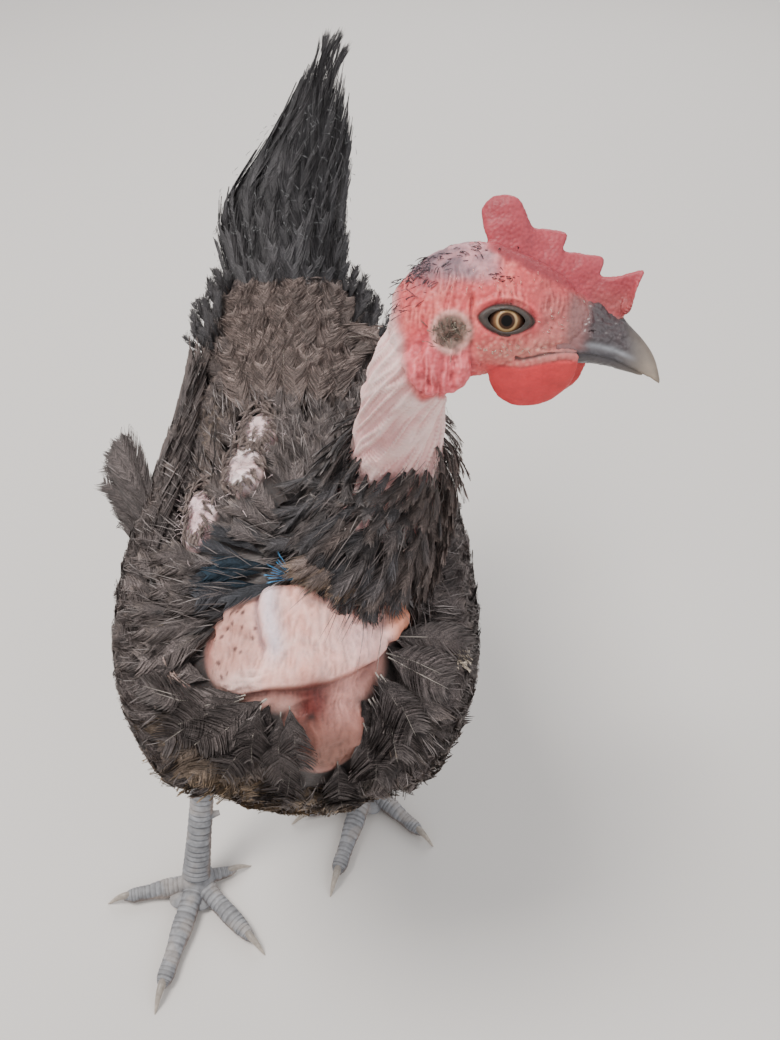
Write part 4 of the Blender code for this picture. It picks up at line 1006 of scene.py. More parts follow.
    bare = np.zeros(count)
    bodies = np.nonzero((body > 0.5) & (points[:, 2] > 0.19))[0]
    bare[bodies] = [bare_share(p) for p in points[bodies]]
    high, over = breast_angle(points)
    breast = bare * (points[:, 1] < -0.1)
    x = points[:, 0]
    puckers = noisy(bare, crests, np.stack([x, 0.28 * high / 800, 0 * x], 1), 520.0, 2.0)
    soft = noisy(bare, bumpy, points, 120.0, 3.0)
    dots = noisy(bare, pebbly, points, 260.0)
    moved += bare * (0.00036 * (puckers - 0.4) + 0.0012 * soft)
    creased = noisy(bare, crests, points * (1.0, 0.7, 0.5), 150.0, 35.0)
    moved += bare * 0.0006 * (creased - 0.3)
    roll = bell(over, 3.5, 5.0) * (x > -0.028)
    sunk = ramp(0.3, -1.6, over) * ramp(-22.0, -8.0, over)
    notch_x = np.interp(high, (54.0, 66.0, 75.0), (-0.0035, -0.0066, -0.0072))
    notch = bell(x, notch_x, 0.0012) * ramp(50.0, 56.0, high)
    slope = bell(over - 8.0, 650 * clamp(0.004 - x), 2.0) * (x < 0.006) * (high < 62)
    follicle = ramp(-0.004, -0.008, x - notch_x + 0.004) * ramp(4.0, 9.0, over)
    moved += breast * (0.0023 * roll - 0.0036 * sunk - 0.0017 * notch - 0.0009 * slope - 0.001 * follicle)
    welt = bell(x - notch_x, 0.005, 0.0036) * ramp(46.0, 56.0, high)
    moved += breast * 0.0014 * welt
    drape_lines = noisy(breast, crests, np.stack([x * 0.35, (over + 160 * x) / 800, 0 * x], 1), 330.0, 8.0)
    left_lip = ramp(0.004, -0.008, x) * bell(over, 3.0, 3.5)
    moved += breast * left_lip * 0.0009 * (drape_lines - 0.3)
    strap = bell(x, np.interp(high, (25.0, 45.0, 70.0), (0.03, 0.0375, 0.046)), 0.0022)
    moved += breast * 0.0016 * strap * (x > 0.02)
    set_coordinates(skin.data, points + normals * moved[:, None])
    deep = np.clip(hollows(skin.data) / 0.00012, -1.0, 1.0)

    blotch = noisy(head + on_neck + bare, bumpy, points, 110.0, 4.0)
    speck = noisy(head + bare, bumpy, points, 700.0, 4.0)
    tint = Tint(DARK * 0.8, count)
    lay = tint.lay
    lay(bare, PEACH)
    lay(breast * ramp(-0.2, 0.5, noisy(breast, bumpy, points, 75.0, 31.0)) * 0.55, (0.82, 0.34, 0.26))
    veins = noisy(breast, crests, points * (1.0, 0.6, 0.45), 210.0, 33.0)
    lay(breast * clamp(veins) * 0.4, (0.9, 0.62, 0.56))
    lay(breast * clamp(puckers) * 0.35, (0.9, 0.52, 0.42))
    lay(breast * bell(x, 0.032, 0.01) * bell(high, 58, 9) * 0.7, (0.74, 0.47, 0.46))
    lay(breast * welt * 0.8, (0.7, 0.6, 0.66))
    # The skin left of the groove darker, partly its own tone and partly painted shade of that sunken area
    lay(breast * ramp(0.0, -0.004, x - notch_x) * 0.85, (0.52, 0.26, 0.21))
    # Painted shade in the groove beside the pale fold
    lay(breast * notch * 0.65, (0.3, 0.17, 0.18))
    lay(breast * ramp(-0.0215, -0.0255, x) * ramp(42.0, 50.0, high) * 0.7, (0.5, 0.1, 0.09))
    lay(breast * left_lip * 0.6, (0.84, 0.6, 0.55))
    # Painted shade: the crop's left lip darker between its drape creases
    lay(breast * left_lip * clamp(0.5 - drape_lines) * 0.8, (0.48, 0.24, 0.2))
    # Below the crop's lip the skin is brown-red: partly its own colour, partly painted shade under the crop's
    # overhang
    lay(breast * ramp(0.5, -1.0, over), (0.31, 0.13, 0.105))
    # Painted shadow: the hollow just under the crop's lip nearly black-red
    recess = bell(x, 0.015, 0.0075) * bell(over, -6.0, 7.0)
    lay(breast * clamp(recess * 1.3), (0.13, 0.025, 0.02))
    flap = bell(x, 0.029, 0.0055) * ramp(-20.0, -9.0, over) * (over < 1.0)
    lay(breast * flap * 0.85, (0.68, 0.32, 0.27))
    # Lower on the breast the skin is darker brown, partly its own colour and partly painted shade
    lay(breast * ramp(36.0, 14.0, high) * 0.85, (0.25, 0.115, 0.085))
    lay(breast * ramp(0.0385, 0.044, x) * ramp(50.0, 60.0, high) * 0.8, (0.52, 0.17, 0.085))
    spot = bell(x, 0.0148, 0.0016) * bell(points[:, 2], 0.2385, 0.0016)
    lay(breast * spot * 0.9, (0.035, 0.02, 0.018))
    specks = ramp(0.5, 0.68, dots) * (x < -0.006) * (over > 4)
    lay(breast * specks * 0.85, (0.1, 0.05, 0.045))
    upper_back = bare * (points[:, 1] > -0.095)
    lay(upper_back, (0.78, 0.55, 0.54))
    lay(upper_back * clamp(0.4 + soft) * 0.7, (0.92, 0.84, 0.84))
    lay(upper_back * (points[:, 0] < -0.028) * 0.4, (0.7, 0.38, 0.42))
    lay(on_neck, PINK)
    lay(on_neck * threads * 0.35, (0.88, 0.6, 0.54))
    lay(on_neck * clamp(ropes * 1.4) * 0.8, (0.9, 0.66, 0.62))
    # Painted shade: the bare neck darker down in its creases
    lay(on_neck * clamp(deep) * 0.45, (0.58, 0.25, 0.24))
    lay(on_neck * ramp(0.02, 0.5, blotch) * 0.3, (0.76, 0.34, 0.32))
    lay(head, RED)
    lay(face * clamp(0.4 + 0.9 * blotch) * 0.35, (0.7, 0.135, 0.115))
    lay(face * pleats * 0.5, (0.82, 0.24, 0.2))
    lay(face * clamp(fine - 0.4) * 0.5, (0.86, 0.34, 0.29))
    front_face = cheek * ramp(0.006, 0.012, f) * ramp(0.01, 0.004, d)
    lay(front_face * 0.65, (0.42, 0.15, 0.135))
    # Painted shade: the skin under the comb's front blade darker red
    forehead = face * bell(f, 0.0125, 0.0075) * bell(d, 0.0098, 0.0052)
    lay(forehead * 0.62, (0.35, 0.072, 0.072))
    crown = face * ramp(0.0085, 0.0135, d + 0.0012 * blotch) * ramp(-0.001, -0.007, f)
    lay(crown * 0.85, (0.55, 0.29, 0.31))
    lay(crown * clamp(0.2 + 1.6 * noisy(head, bumpy, points, 280.0, 12.0)) * 0.75,
        (0.25, 0.15, 0.17))
    lay(crown * clamp(speck) * 0.5, (0.2, 0.12, 0.13))
    nape = face * bell(f, -0.0245, 0.007) * bell(d, 0.0115, 0.005)
    lay(nape * 0.8, (0.13, 0.08, 0.095))
    cap = face * bell(f, -0.019, 0.0095) * bell(d, 0.016, 0.0055)
    lay(cap * clamp(0.7 + 2.0 * noisy(head, bumpy, points, 210.0, 14.0)) * 0.85,
        (0.115, 0.075, 0.092))
    cheek_low = cheek * bell(f, 0.004, 0.012) * bell(drop, -0.0015, 0.0042)
    lay(cheek_low * 0.6, (0.54, 0.24, 0.19))
    lay(cheek_low * clamp(fine - 0.3) * 0.9, (0.8, 0.5, 0.38))
    lay(lobe * 0.65, (0.6, 0.095, 0.115))
    # Painted highlight: the lobe paler red on its raised folds
    lay(lobe * clamp(-deep) * 0.5, (0.78, 0.22, 0.24))
    lay(comb, (0.36, 0.052, 0.066))
    lay(comb * clamp(grains) * 0.3, (0.46, 0.07, 0.08))
    lay(comb * clamp(0.3 + 1.4 * blotch) * 0.45, (0.27, 0.036, 0.046))
    lay(comb * ramp(0.006, 0.016, above) * 0.3, (0.34, 0.065, 0.082))
    # Painted shade: the comb darker at its foot on both sides, where it meets the head, and on its low front
    # part by the bill
    lay(comb * (side > 0.003) * ramp(0.0005, -0.0015, above) * 0.6, (0.21, 0.038, 0.044))
    lay(comb * ramp(0.02, 0.028, f) * ramp(0.01, 0.003, above) * 0.5, (0.3, 0.085, 0.075))
    lay(wattle, (0.6, 0.042, 0.048))
    lay(wattle * clamp(0.4 + blotch) * 0.25, (0.68, 0.07, 0.072))
    lay(wattle * ramp(0.01, 0.02, f) * 0.35, (0.44, 0.045, 0.04))
    lid = cheek * ramp(1.08, 0.94, eye_away + 0.06 * blotch)
    lay(lid * 1.1, (0.042, 0.033, 0.028))
    lay(rim * 0.35, (0.095, 0.075, 0.066))
    cere = face * ramp(0.015, 0.019, f) * ramp(-0.0085, -0.0055, d) * (1 - comb)
    lay(cere * 0.85, (0.2, 0.105, 0.1))
    ear = cheek * ramp(0.0056, 0.0042, ear_away)
    lay(ear * 0.9, (0.24, 0.185, 0.145))
    lay(cheek * bell(ear_away, 0.0054, 0.001) * 0.7, (0.56, 0.36, 0.3))
    lay(mouth * 0.8, (0.17, 0.09, 0.085))
    # Painted shade and painted highlight: the head and bare patches darker in their creases and paler on
    # their ridges
    seen = head + 0.6 * bare
    tint.rows *= (1 - 0.45 * seen * clamp(deep) + 0.12 * seen * clamp(-deep))[:, None]
    paint(skin.data, clamp(tint.rows))
    return skin


# The bill, eyes, legs and claws


def bill_rings(stations, upper):
    where = smooth_through(stations)
    rings, rows, sides = [], 60, 40
    for k in range(rows):
        forward, value, half = where(k / (rows - 1))
        if upper:
            floor, edge = mouth_height(forward) - 0.00025, value
            if forward > MOUTH_LINE[-2][0]:
                floor = min(mouth_height(forward), value - 0.0008)
        else:
            floor = mouth_height(forward) + 0.0002
            edge = floor - value
        ring = []
        for i in range(sides):
            turn = math.pi * i / (sides - 1)
            bow = max(math.sin(turn), 0.0) ** 0.85
            ring.append(on_head(forward, floor + (edge - floor) * bow, half * math.cos(turn)))
        rings.append(np.array(ring))
    return rings


def make_bill():
    upper = loft("bill_top", bill_rings(UPPER_BILL, True))
    lower = loft("bill_bottom", bill_rings(LOWER_BILL, False))
    upper = remesh(upper, BILL_VOXEL, 2)
    lower = remesh(lower, BILL_VOXEL, 2)
    for side in (1, -1):
        middle = on_head(*NOSTRIL_SPOT, side * 0.0074)
        long_axis = FORWARD + 0.25 * DORSAL
        axes = (long_axis, np.cross(long_axis, RIGHT), RIGHT)
        boolean(upper, ellipsoid("nostril", middle, axes, (0.0019, 0.0008, 0.002)), "DIFFERENCE")
    for obj, node_name in ((upper, "bill_upper"), (lower, "bill_lower")):
        points = coordinates(obj.data)
        f, d, r = in_head(points).T
        normals = vertex_normals(obj.data)
        mouth = np.interp(f, *zip(*MOUTH_LINE))
        top = np.interp(f, [row[0] for row in UPPER_BILL], [row[1] for row in UPPER_BILL])
        is_upper = 1.0 if obj is upper else 0.0
        lump = ramp(0.0205, 0.024, f) * ramp(0.0375, 0.0315, f + 0.25 * (d - top))
        lump *= ramp(0.0025, 0.0045, d - mouth) * is_upper
        root = ramp(0.037, 0.033, f)
        grain, knobs = pebbly(points, 700.0), bumpy(points, 330.0, 2.0)
        points += normals * (
            root * 0.00016 * grain + lump * (0.0006 + 0.0003 * grain + 0.0007 * knobs)
            + 0.0001 * bumpy(points, 180.0))[:, None]
        set_coordinates(obj.data, points)
        tint = Tint((0.12, 0.098, 0.086), len(points))
        lay = tint.lay
        streak = 0.5 + bumpy(np.stack([f * 0.25, d, r], 1), 420.0, 3.0)
        lay(ramp(0.0365, 0.0465, f), (0.33, 0.255, 0.185))
        lay(streak * 0.35, (0.135, 0.11, 0.092))
        lay(ramp(0.041, 0.03, f), (0.075, 0.066, 0.07))
        if obj is upper:
            lay(ramp(-0.004, 0.0, d - top + 0.0016) * 0.45, (0.12, 0.095, 0.08))
            lay(lump, (0.058, 0.044, 0.047))
            lay(lump * clamp(grain) * 0.5, (0.105, 0.082, 0.084))
            lay(ramp(0.0255, 0.0205, f) * 0.9, (0.23, 0.095, 0.09))
            # Painted highlight: a pale grey-blue line along the upper bill just above the gape
            highlight_band = bell(d - mouth, 0.0026, 0.0008) * ramp(0.022, 0.026, f)
            lay(highlight_band * ramp(0.04, 0.034, f) * 0.75, (0.27, 0.27, 0.29))
            lay(bell(d, mouth, 0.0009) * ramp(0.04, 0.03, f) * 0.8, (0.04, 0.036, 0.04))
        else:
            lay(ramp(0.03, 0.02, f) * 0.6, (0.05, 0.044, 0.048))
        paint(obj.data, clamp(tint.rows))
        finish(obj, "horn", "horn", node_name)


def make_eyes():
    for side, label in ((1, "right"), (-1, "left")):
        middle = on_head(0.0, 0.0, side * EYE_OUT)
        eye = ellipsoid("eye_ball_" + label, middle, (FORWARD, DORSAL, RIGHT), [EYE_RADIUS] * 3, 96, 96)
        points = coordinates(eye.data)
        local = in_head(points)
        across, over = local[:, 0] - 0.0001, local[:, 1] + 0.0003
        away = np.hypot(across, over) * 1000
        spokes = np.arctan2(over, across)
        rays = 0.5 + 0.5 * np.sin(spokes * 29 + 3 * np.sin(spokes * 7))
        tint = Tint((0.04, 0.022, 0.016), len(points))
        lay = tint.lay
        lay(ramp(5.0, 4.6, away), (0.06, 0.03, 0.02))
        lay(ramp(4.1, 3.5, away), (0.15, 0.075, 0.038))
        lay(rays * ramp(2.4, 3.0, away) * ramp(4.9, 4.2, away) * 0.35, (0.13, 0.055, 0.03))
        lay(bell(away, 2.7, 0.36) * 0.85, (0.56, 0.36, 0.17))
        lay(ramp(2.45, 2.2, away), (0.05, 0.024, 0.014))
        lay(ramp(1.75, 1.45, away), (0.006, 0.005, 0.005))
        # Painted shadow of the upper lid over the top of the iris
        lay(ramp(2.0, 3.4, over * 1000) * 0.6, (0.06, 0.03, 0.02))
        paint(eye.data, tint.rows)
        finish(eye, "eye", "eye", "eye_" + label)


def limb(name, path, radii, sides, rows, plates, front, turn=0.0, knuckles=0):
    """A scaly limb, already tinted: broad overlapping plates in front, small pebbles behind."""
    where, thick = smooth_through(path), radius_along(radii)
    rng = random.Random(plates)
    shade = [rng.uniform(0.86, 1.14) for _ in range(plates + 2)]
    rings, tints = [], []
    for k in range(rows):
        t = k / (rows - 1)
        along, radius = heading_at(where, t, 0.02), thick(t)
        if knuckles:
            radius *= 1 + 0.07 * math.cos(TAU * knuckles * t)
        ring = ring_about(where(t), along, front, radius, radius, sides, turn)
        place = t * plates + 0.5 + 0.22 * math.sin(23 * t) + 0.12 * math.sin(61 * t)
        saw = place % 1.0
        groove = bell(min(saw, 1 - saw), 0.0, 0.13)
        angles = turn + angles_round(sides)
        frontal = ramp(0.0, 0.5, np.cos(angles) + 0.12 * np.sin(37.0 * t + 3 * angles))
        pebbles = pebbly(ring, 520.0)
        outward = units(ring - where(t))
        rise = frontal * (0.00045 * saw - 0.00055 * groove)
        behind = (1 - frontal) * 0.00045 * pebbles
        rings.append(ring + outward * (rise + behind)[:, None] * radius / 0.006)
        # Painted shade: the front plates darker in the grooves between them and the pebbles darker in the
        # gaps between them; each plate is also paler near its edge
        dark = frontal * groove + (1 - frontal) * clamp(0.6 - pebbles)
        light = frontal * bell(saw, 0.8, 0.12)
        tone = shade[int(place)] * (1 - 0.42 * dark + 0.22 * light)
        colour = mixed(LEG_SIDE, LEG_COLOUR, 0.25 + 0.75 * frontal)
        tints.append(colour * tone[:, None])
    made = loft(name, rings)
    paint(made.data, np.concatenate(tints + [tints[0][:1], tints[-1][:1]]))
    return made


LEG_COLOUR = np.array([0.215, 0.218, 0.232])
LEG_SIDE = np.array([0.235, 0.18, 0.155])


def make_legs():
    for label, leg in LEGS.items():
        hock, ankle = np.array(leg["hock"]), np.array(leg["ankle"])
        front = unit(np.array([*leg["middle"], 0.0]) - ankle)
        bow = np.array([0.0, 0.002, 0.0])
        path = (hock, hock + (ankle - hock) * 0.35 + bow, hock + (ankle - hock) * 0.7 + bow, ankle)
        pieces = [limb("shank", path, SHANK_RADII, 64, 250, 32, front)]
        pieces.append(ellipsoid("joint", hock, (UP, front, np.cross(UP, front)),
                                (0.0105, 0.01, 0.0088), 24, 32))
        hub = np.array([ankle[0], ankle[1], 0.008])
        pieces.append(ellipsoid("ball", hub, (front, np.cross(UP, front), UP),
                                (0.01, 0.0092, 0.0078), 24, 32))
        spur_out = unit(np.array([-1.0 if label == "left" else 1.0, 0.35, 0.0]))
        spur_root = hock + (ankle - hock) * 0.66
        pieces.append(tube("spur", (spur_root, spur_root + spur_out * 0.0108), (0.0034, 0.0014), 20, 12))
        nodes = ["shank_" + label]
        ways = {toe: unit(np.array([*leg[toe], 0.0]) - ankle * (1, 1, 0)) for toe in TOE_RADII}
        for toe, (root_radius, end_radius) in TOE_RADII.items():
            start = np.array([ankle[0], ankle[1], root_radius * 0.88])
            tip = np.array([*leg[toe], end_radius * 0.88])
            along = unit(tip - start)
            claw_root = tip - along * CLAW_LENGTHS[toe]
            if toe == "hind":
                start = start + UP * 0.0035
            path = (start, (start + claw_root) / 2, claw_root - along * 0.001, claw_root + along * 0.0042)
            radii = (root_radius, (root_radius + end_radius) * 0.47, end_radius * 0.84, end_radius * 0.4)
            joints = {"middle": 3, "outer": 3, "inner": 2, "hind": 1}[toe]
            pieces.append(limb("toe", path, radii, 48, 190, TOE_SCUTES[toe] + 11, UP, 0.0, joints))
            nodes.append(f"toe_{toe}_{label}")
            make_claw(label, toe, claw_root, along, end_radius)
        for other, reach in (("outer", 0.015), ("inner", 0.0135)):
            between = unit(ways["middle"] + ways[other])
            middle = np.array([ankle[0], ankle[1], 0.004]) + between * reach * 0.62
            pieces.append(ellipsoid("web", middle, (between, np.cross(UP, between), UP),
                                    (reach * 0.62, 0.0072, 0.0024), 16, 28))
        for piece in pieces:
            if "Tint" not in piece.data.color_attributes:
                paint(piece.data, np.tile(LEG_COLOUR, (len(piece.data.vertices), 1)))
        foot = pieces[0]
        for piece in pieces[1:]:
            boolean(foot, piece, "UNION")
        foot.name = "leg_" + label
        points = coordinates(foot.data)
        points[:, 2] = np.maximum(points[:, 2], 0.0002)
        set_coordinates(foot.data, points)
        paint_leg(foot)
        finish(foot, "scales", "leg_scales", *nodes)


def paint_leg(foot):
    """Lays blotches, dust near the ground and a paler tone where the surface faces up, over the tint that the
    limbs brought with them.
    """
    points = coordinates(foot.data)
    normals = vertex_normals(foot.data)
    layer = foot.data.color_attributes["Tint"]
    rows = np.empty(len(points) * 4, np.float32)
    layer.data.foreach_get("color", rows)
    rows = rows.reshape(-1, 4)
    tint = Tint(LEG_COLOUR, len(points))
    tint.rows = rows[:, :3].astype(float)
    seams = (tint.rows.min(1) > 0.8) | (tint.rows.max(1) < 0.02)
    tint.rows[seams] = LEG_COLOUR * 0.6
    broad = bumpy(points, 90.0, 1.0)
    fine = bumpy(points, 600.0, 2.0)
    tint.rows *= (1 + 0.3 * broad + 0.2 * fine)[:, None]
    # Paler where the surface faces up
    tint.lay(ramp(0.25, 0.9, normals[:, 2]) * 0.22, (0.36, 0.33, 0.31))
    tint.lay(ramp(0.05, 0.3, broad) * 0.35, (0.34, 0.28, 0.235))
    tint.lay(ramp(0.0045, 0.0005, points[:, 2]) * 0.55, (0.3, 0.25, 0.21))
    tint.lay(ramp(0.05, 0.085, points[:, 2]) * 0.35, (0.22, 0.19, 0.17))
    rows[:, :3] = clamp(tint.rows)
    layer.data.foreach_set("color", rows.ravel())


CLAW_REACH = 1.3


def make_claw(label, toe, claw_root, along, end_radius):
    length = CLAW_LENGTHS[toe] * CLAW_REACH
    rings, rows = [], 44
    start = claw_root - along * 0.001
    radius = end_radius * 0.64
    for k in range(rows):
        t = k / (rows - 1)
        drop = (start[2] - 0.0006) * t ** 2.0
        rise = 0.002 * math.sin(math.pi * min(t * 1.1, 1.0))
        centre = start + along * (length + 0.001) * t + UP * (rise - drop)
        size = max(radius * (1 - t) ** 0.6, 0.0003)
        ring = ring_about(centre, along, UP, size * 1.15, size * 0.85, 24)
        ring[:, 2] = np.maximum(ring[:, 2], 0.0001)
        rings.append(ring)
    claw = loft(f"claw_horn_{toe}_{label}", rings)
    points = coordinates(claw.data)
    share = clamp((points - start) @ along / length)[:, None]
    tint = np.array([0.2, 0.175, 0.155]) * (1 - share) + np.array([0.42, 0.36, 0.3]) * share
    ridges = 1 + 0.22 * bumpy(points * (1.0, 1.0, 0.4), 900.0)
    paint(claw.data, tint * ridges[:, None])
    finish(claw, "horn", "claw_horn", f"claw_{toe}_{label}")


# Feathers


def feather_template(rng, clumps, outline, start, lean, stations, ragged, shaft=0.035, split=0.0,
                     fine=1.0, curl=0.0):
    """A feather in its own space: u across from -1 to 1, v along from 0 to 1, w off its face.

    Its vane is made of clumps of barbs that slant towards the tip and end in a fringe.
    """
    points, edges, tones, shafts, quads, lies = [], [], [], [], [], []
    last = 0.9
    step = (last - start) / clumps
    for side in (-1, 1):
        for j in range(clumps):
            base = start + step * j
            reach = read_off(outline, (base - start) / (last - start))
            slant = lean * (0.75 + 0.9 * base)
            slant = min(slant, 1.04 - base - step)
            length = 1 + ragged * rng.uniform(-1.0, 0.6)
            if rng.random() < split:
                length *= rng.uniform(0.55, 0.8)
            tone = rng.uniform(-1, 1)
            if rng.random() < 0.07:
                tone += 2.2
            first = len(points)
            swing = rng.uniform(-0.6, 0.6) * step
            roll = rng.uniform(-0.02, 0.05)
            lift = curl * rng.uniform(0.0, 1.0)
            for share in stations:
                here = share * length
                width = step * fine * (1.35 - 0.35 * share if share < 1 else 0.16)
                across = side * reach * here * (1 - 0.16 * here)
                advance = slant * here ** 1.35 + swing * share
                middle = base + step * 0.5 + advance
                points.append((across, middle - width / 2, 0.015 + roll + lift * share ** 2))
                points.append((across, middle + width / 2, -0.015 + lift * share ** 2))
                edges += [here, here]
                tones += [tone, tone]
                shafts += [0.0, 0.0]
                lies += [(base, here), (base + step * 1.15, here)]
            for k in range(len(stations) - 1):
                a = first + 2 * k
                quad = (a, a + 1, a + 3, a + 2)
                quads.append(quad if side > 0 else quad[::-1])
    if shaft:
        first = len(points)
        stops = (0.0, 0.45, 0.95)
        for k, v in enumerate(stops):
            wide = shaft * (1 - 0.8 * v)
            for u, w in ((-wide, 0.01), (0.0, 0.05 * (1 - 0.6 * v)), (wide, 0.01)):
                points.append((u, v, w))
                edges.append(0.0)
                tones.append(0.0)
                shafts.append(1.0)
                lies.append((0.5 + u, v * 0.1))
        for k in range(len(stops) - 1):
            a = first + 3 * k
            quads += [(a, a + 1, a + 4, a + 3), (a + 1, a + 2, a + 5, a + 4)]
    return {
        "points": np.array(points), "edges": np.array(edges), "tones": np.array(tones),
        "shafts": np.array(shafts), "quads": np.array(quads)[:, ::-1], "lies": np.array(lies),
    }


BODY_OUTLINE = ((0.0, 0.3), (0.15, 0.72), (0.4, 1.0), (0.65, 0.98), (0.85, 0.74), (1.0, 0.4))
LONG_OUTLINE = ((0.0, 0.4), (0.1, 0.8), (0.35, 1.0), (0.8, 0.96), (0.93, 0.7), (1.0, 0.35))
HACKLE_OUTLINE = ((0.0, 0.35), (0.2, 0.85), (0.45, 1.0), (0.75, 0.8), (1.0, 0.3))
WISP_OUTLINE = ((0.0, 0.2), (0.3, 0.7), (0.7, 0.8), (1.0, 0.4))


TAIL_FEATHER_OUTLINE = ((0.0, 0.35), (0.1, 0.75), (0.35, 1.0), (0.75, 0.92), (0.9, 0.66), (1.0, 0.3))


def variants(count, seed, **settings):
    rng = random.Random(seed)
    return [feather_template(rng, **settings) for _ in range(count)]


TEMPLATES = {
    "body": variants(8, 1, clumps=13, outline=BODY_OUTLINE, start=0.06, lean=0.3,
                     stations=(0.0, 0.62, 1.0), ragged=0.07, split=0.03, fine=1.15, shaft=0.024),
    "loose": variants(9, 2, clumps=19, outline=BODY_OUTLINE, start=0.05, lean=0.33,
                      stations=(0.0, 0.6, 1.0), ragged=0.24, split=0.12, fine=1.0, shaft=0.02,
                      curl=0.04),
    "broad": variants(5, 8, clumps=26, outline=BODY_OUTLINE, start=0.05, lean=0.2,
                      stations=(0.0, 0.4, 0.8, 1.0), ragged=0.1, split=0.04, fine=1.1, shaft=0.03),
    "hackle": variants(8, 3, clumps=20, outline=HACKLE_OUTLINE, start=0.05, lean=0.34,
                       stations=(0.0, 0.6, 1.0), ragged=0.32, split=0.15, fine=0.95, shaft=0.02,
                       curl=0.08),
    "flight": variants(5, 4, clumps=34, outline=LONG_OUTLINE, start=0.06, lean=0.1,
                       stations=(0.0, 0.45, 0.85, 1.0), ragged=0.07, split=0.03, shaft=0.035),
    "tail": variants(7, 5, clumps=48, outline=TAIL_FEATHER_OUTLINE, start=0.03, lean=0.105,
                     stations=(0.0, 0.45, 0.85, 1.0), ragged=0.22, split=0.1, shaft=0.03, fine=0.95),
    "covert": variants(6, 6, clumps=20, outline=LONG_OUTLINE, start=0.06, lean=0.19,
                       stations=(0.0, 0.5, 0.85, 1.0), ragged=0.2, split=0.08, shaft=0.03),
    "bristle": variants(5, 7, clumps=4, outline=WISP_OUTLINE, start=0.1, lean=0.45,
                        stations=(0.0, 1.0), ragged=0.5, split=0.1, shaft=0.07, fine=0.7),
    "hair": [{
        "points": np.array([
            (-0.5, 0, 0), (0.5, 0, 0), (-1, 0.4, 0.3), (1, 0.4, 0.3), (-0.2, 1, 0), (0.2, 1, 0)], float),
        "edges": np.zeros(6), "tones": np.zeros(6), "shafts": np.zeros(6),
        "quads": np.array([(0, 2, 3, 1), (2, 4, 5, 3)]),
        "lies": np.array([(0, 0), (0, 0), (0, 0.4), (0, 0.4), (0, 1), (0, 1)], float),
    }],
}


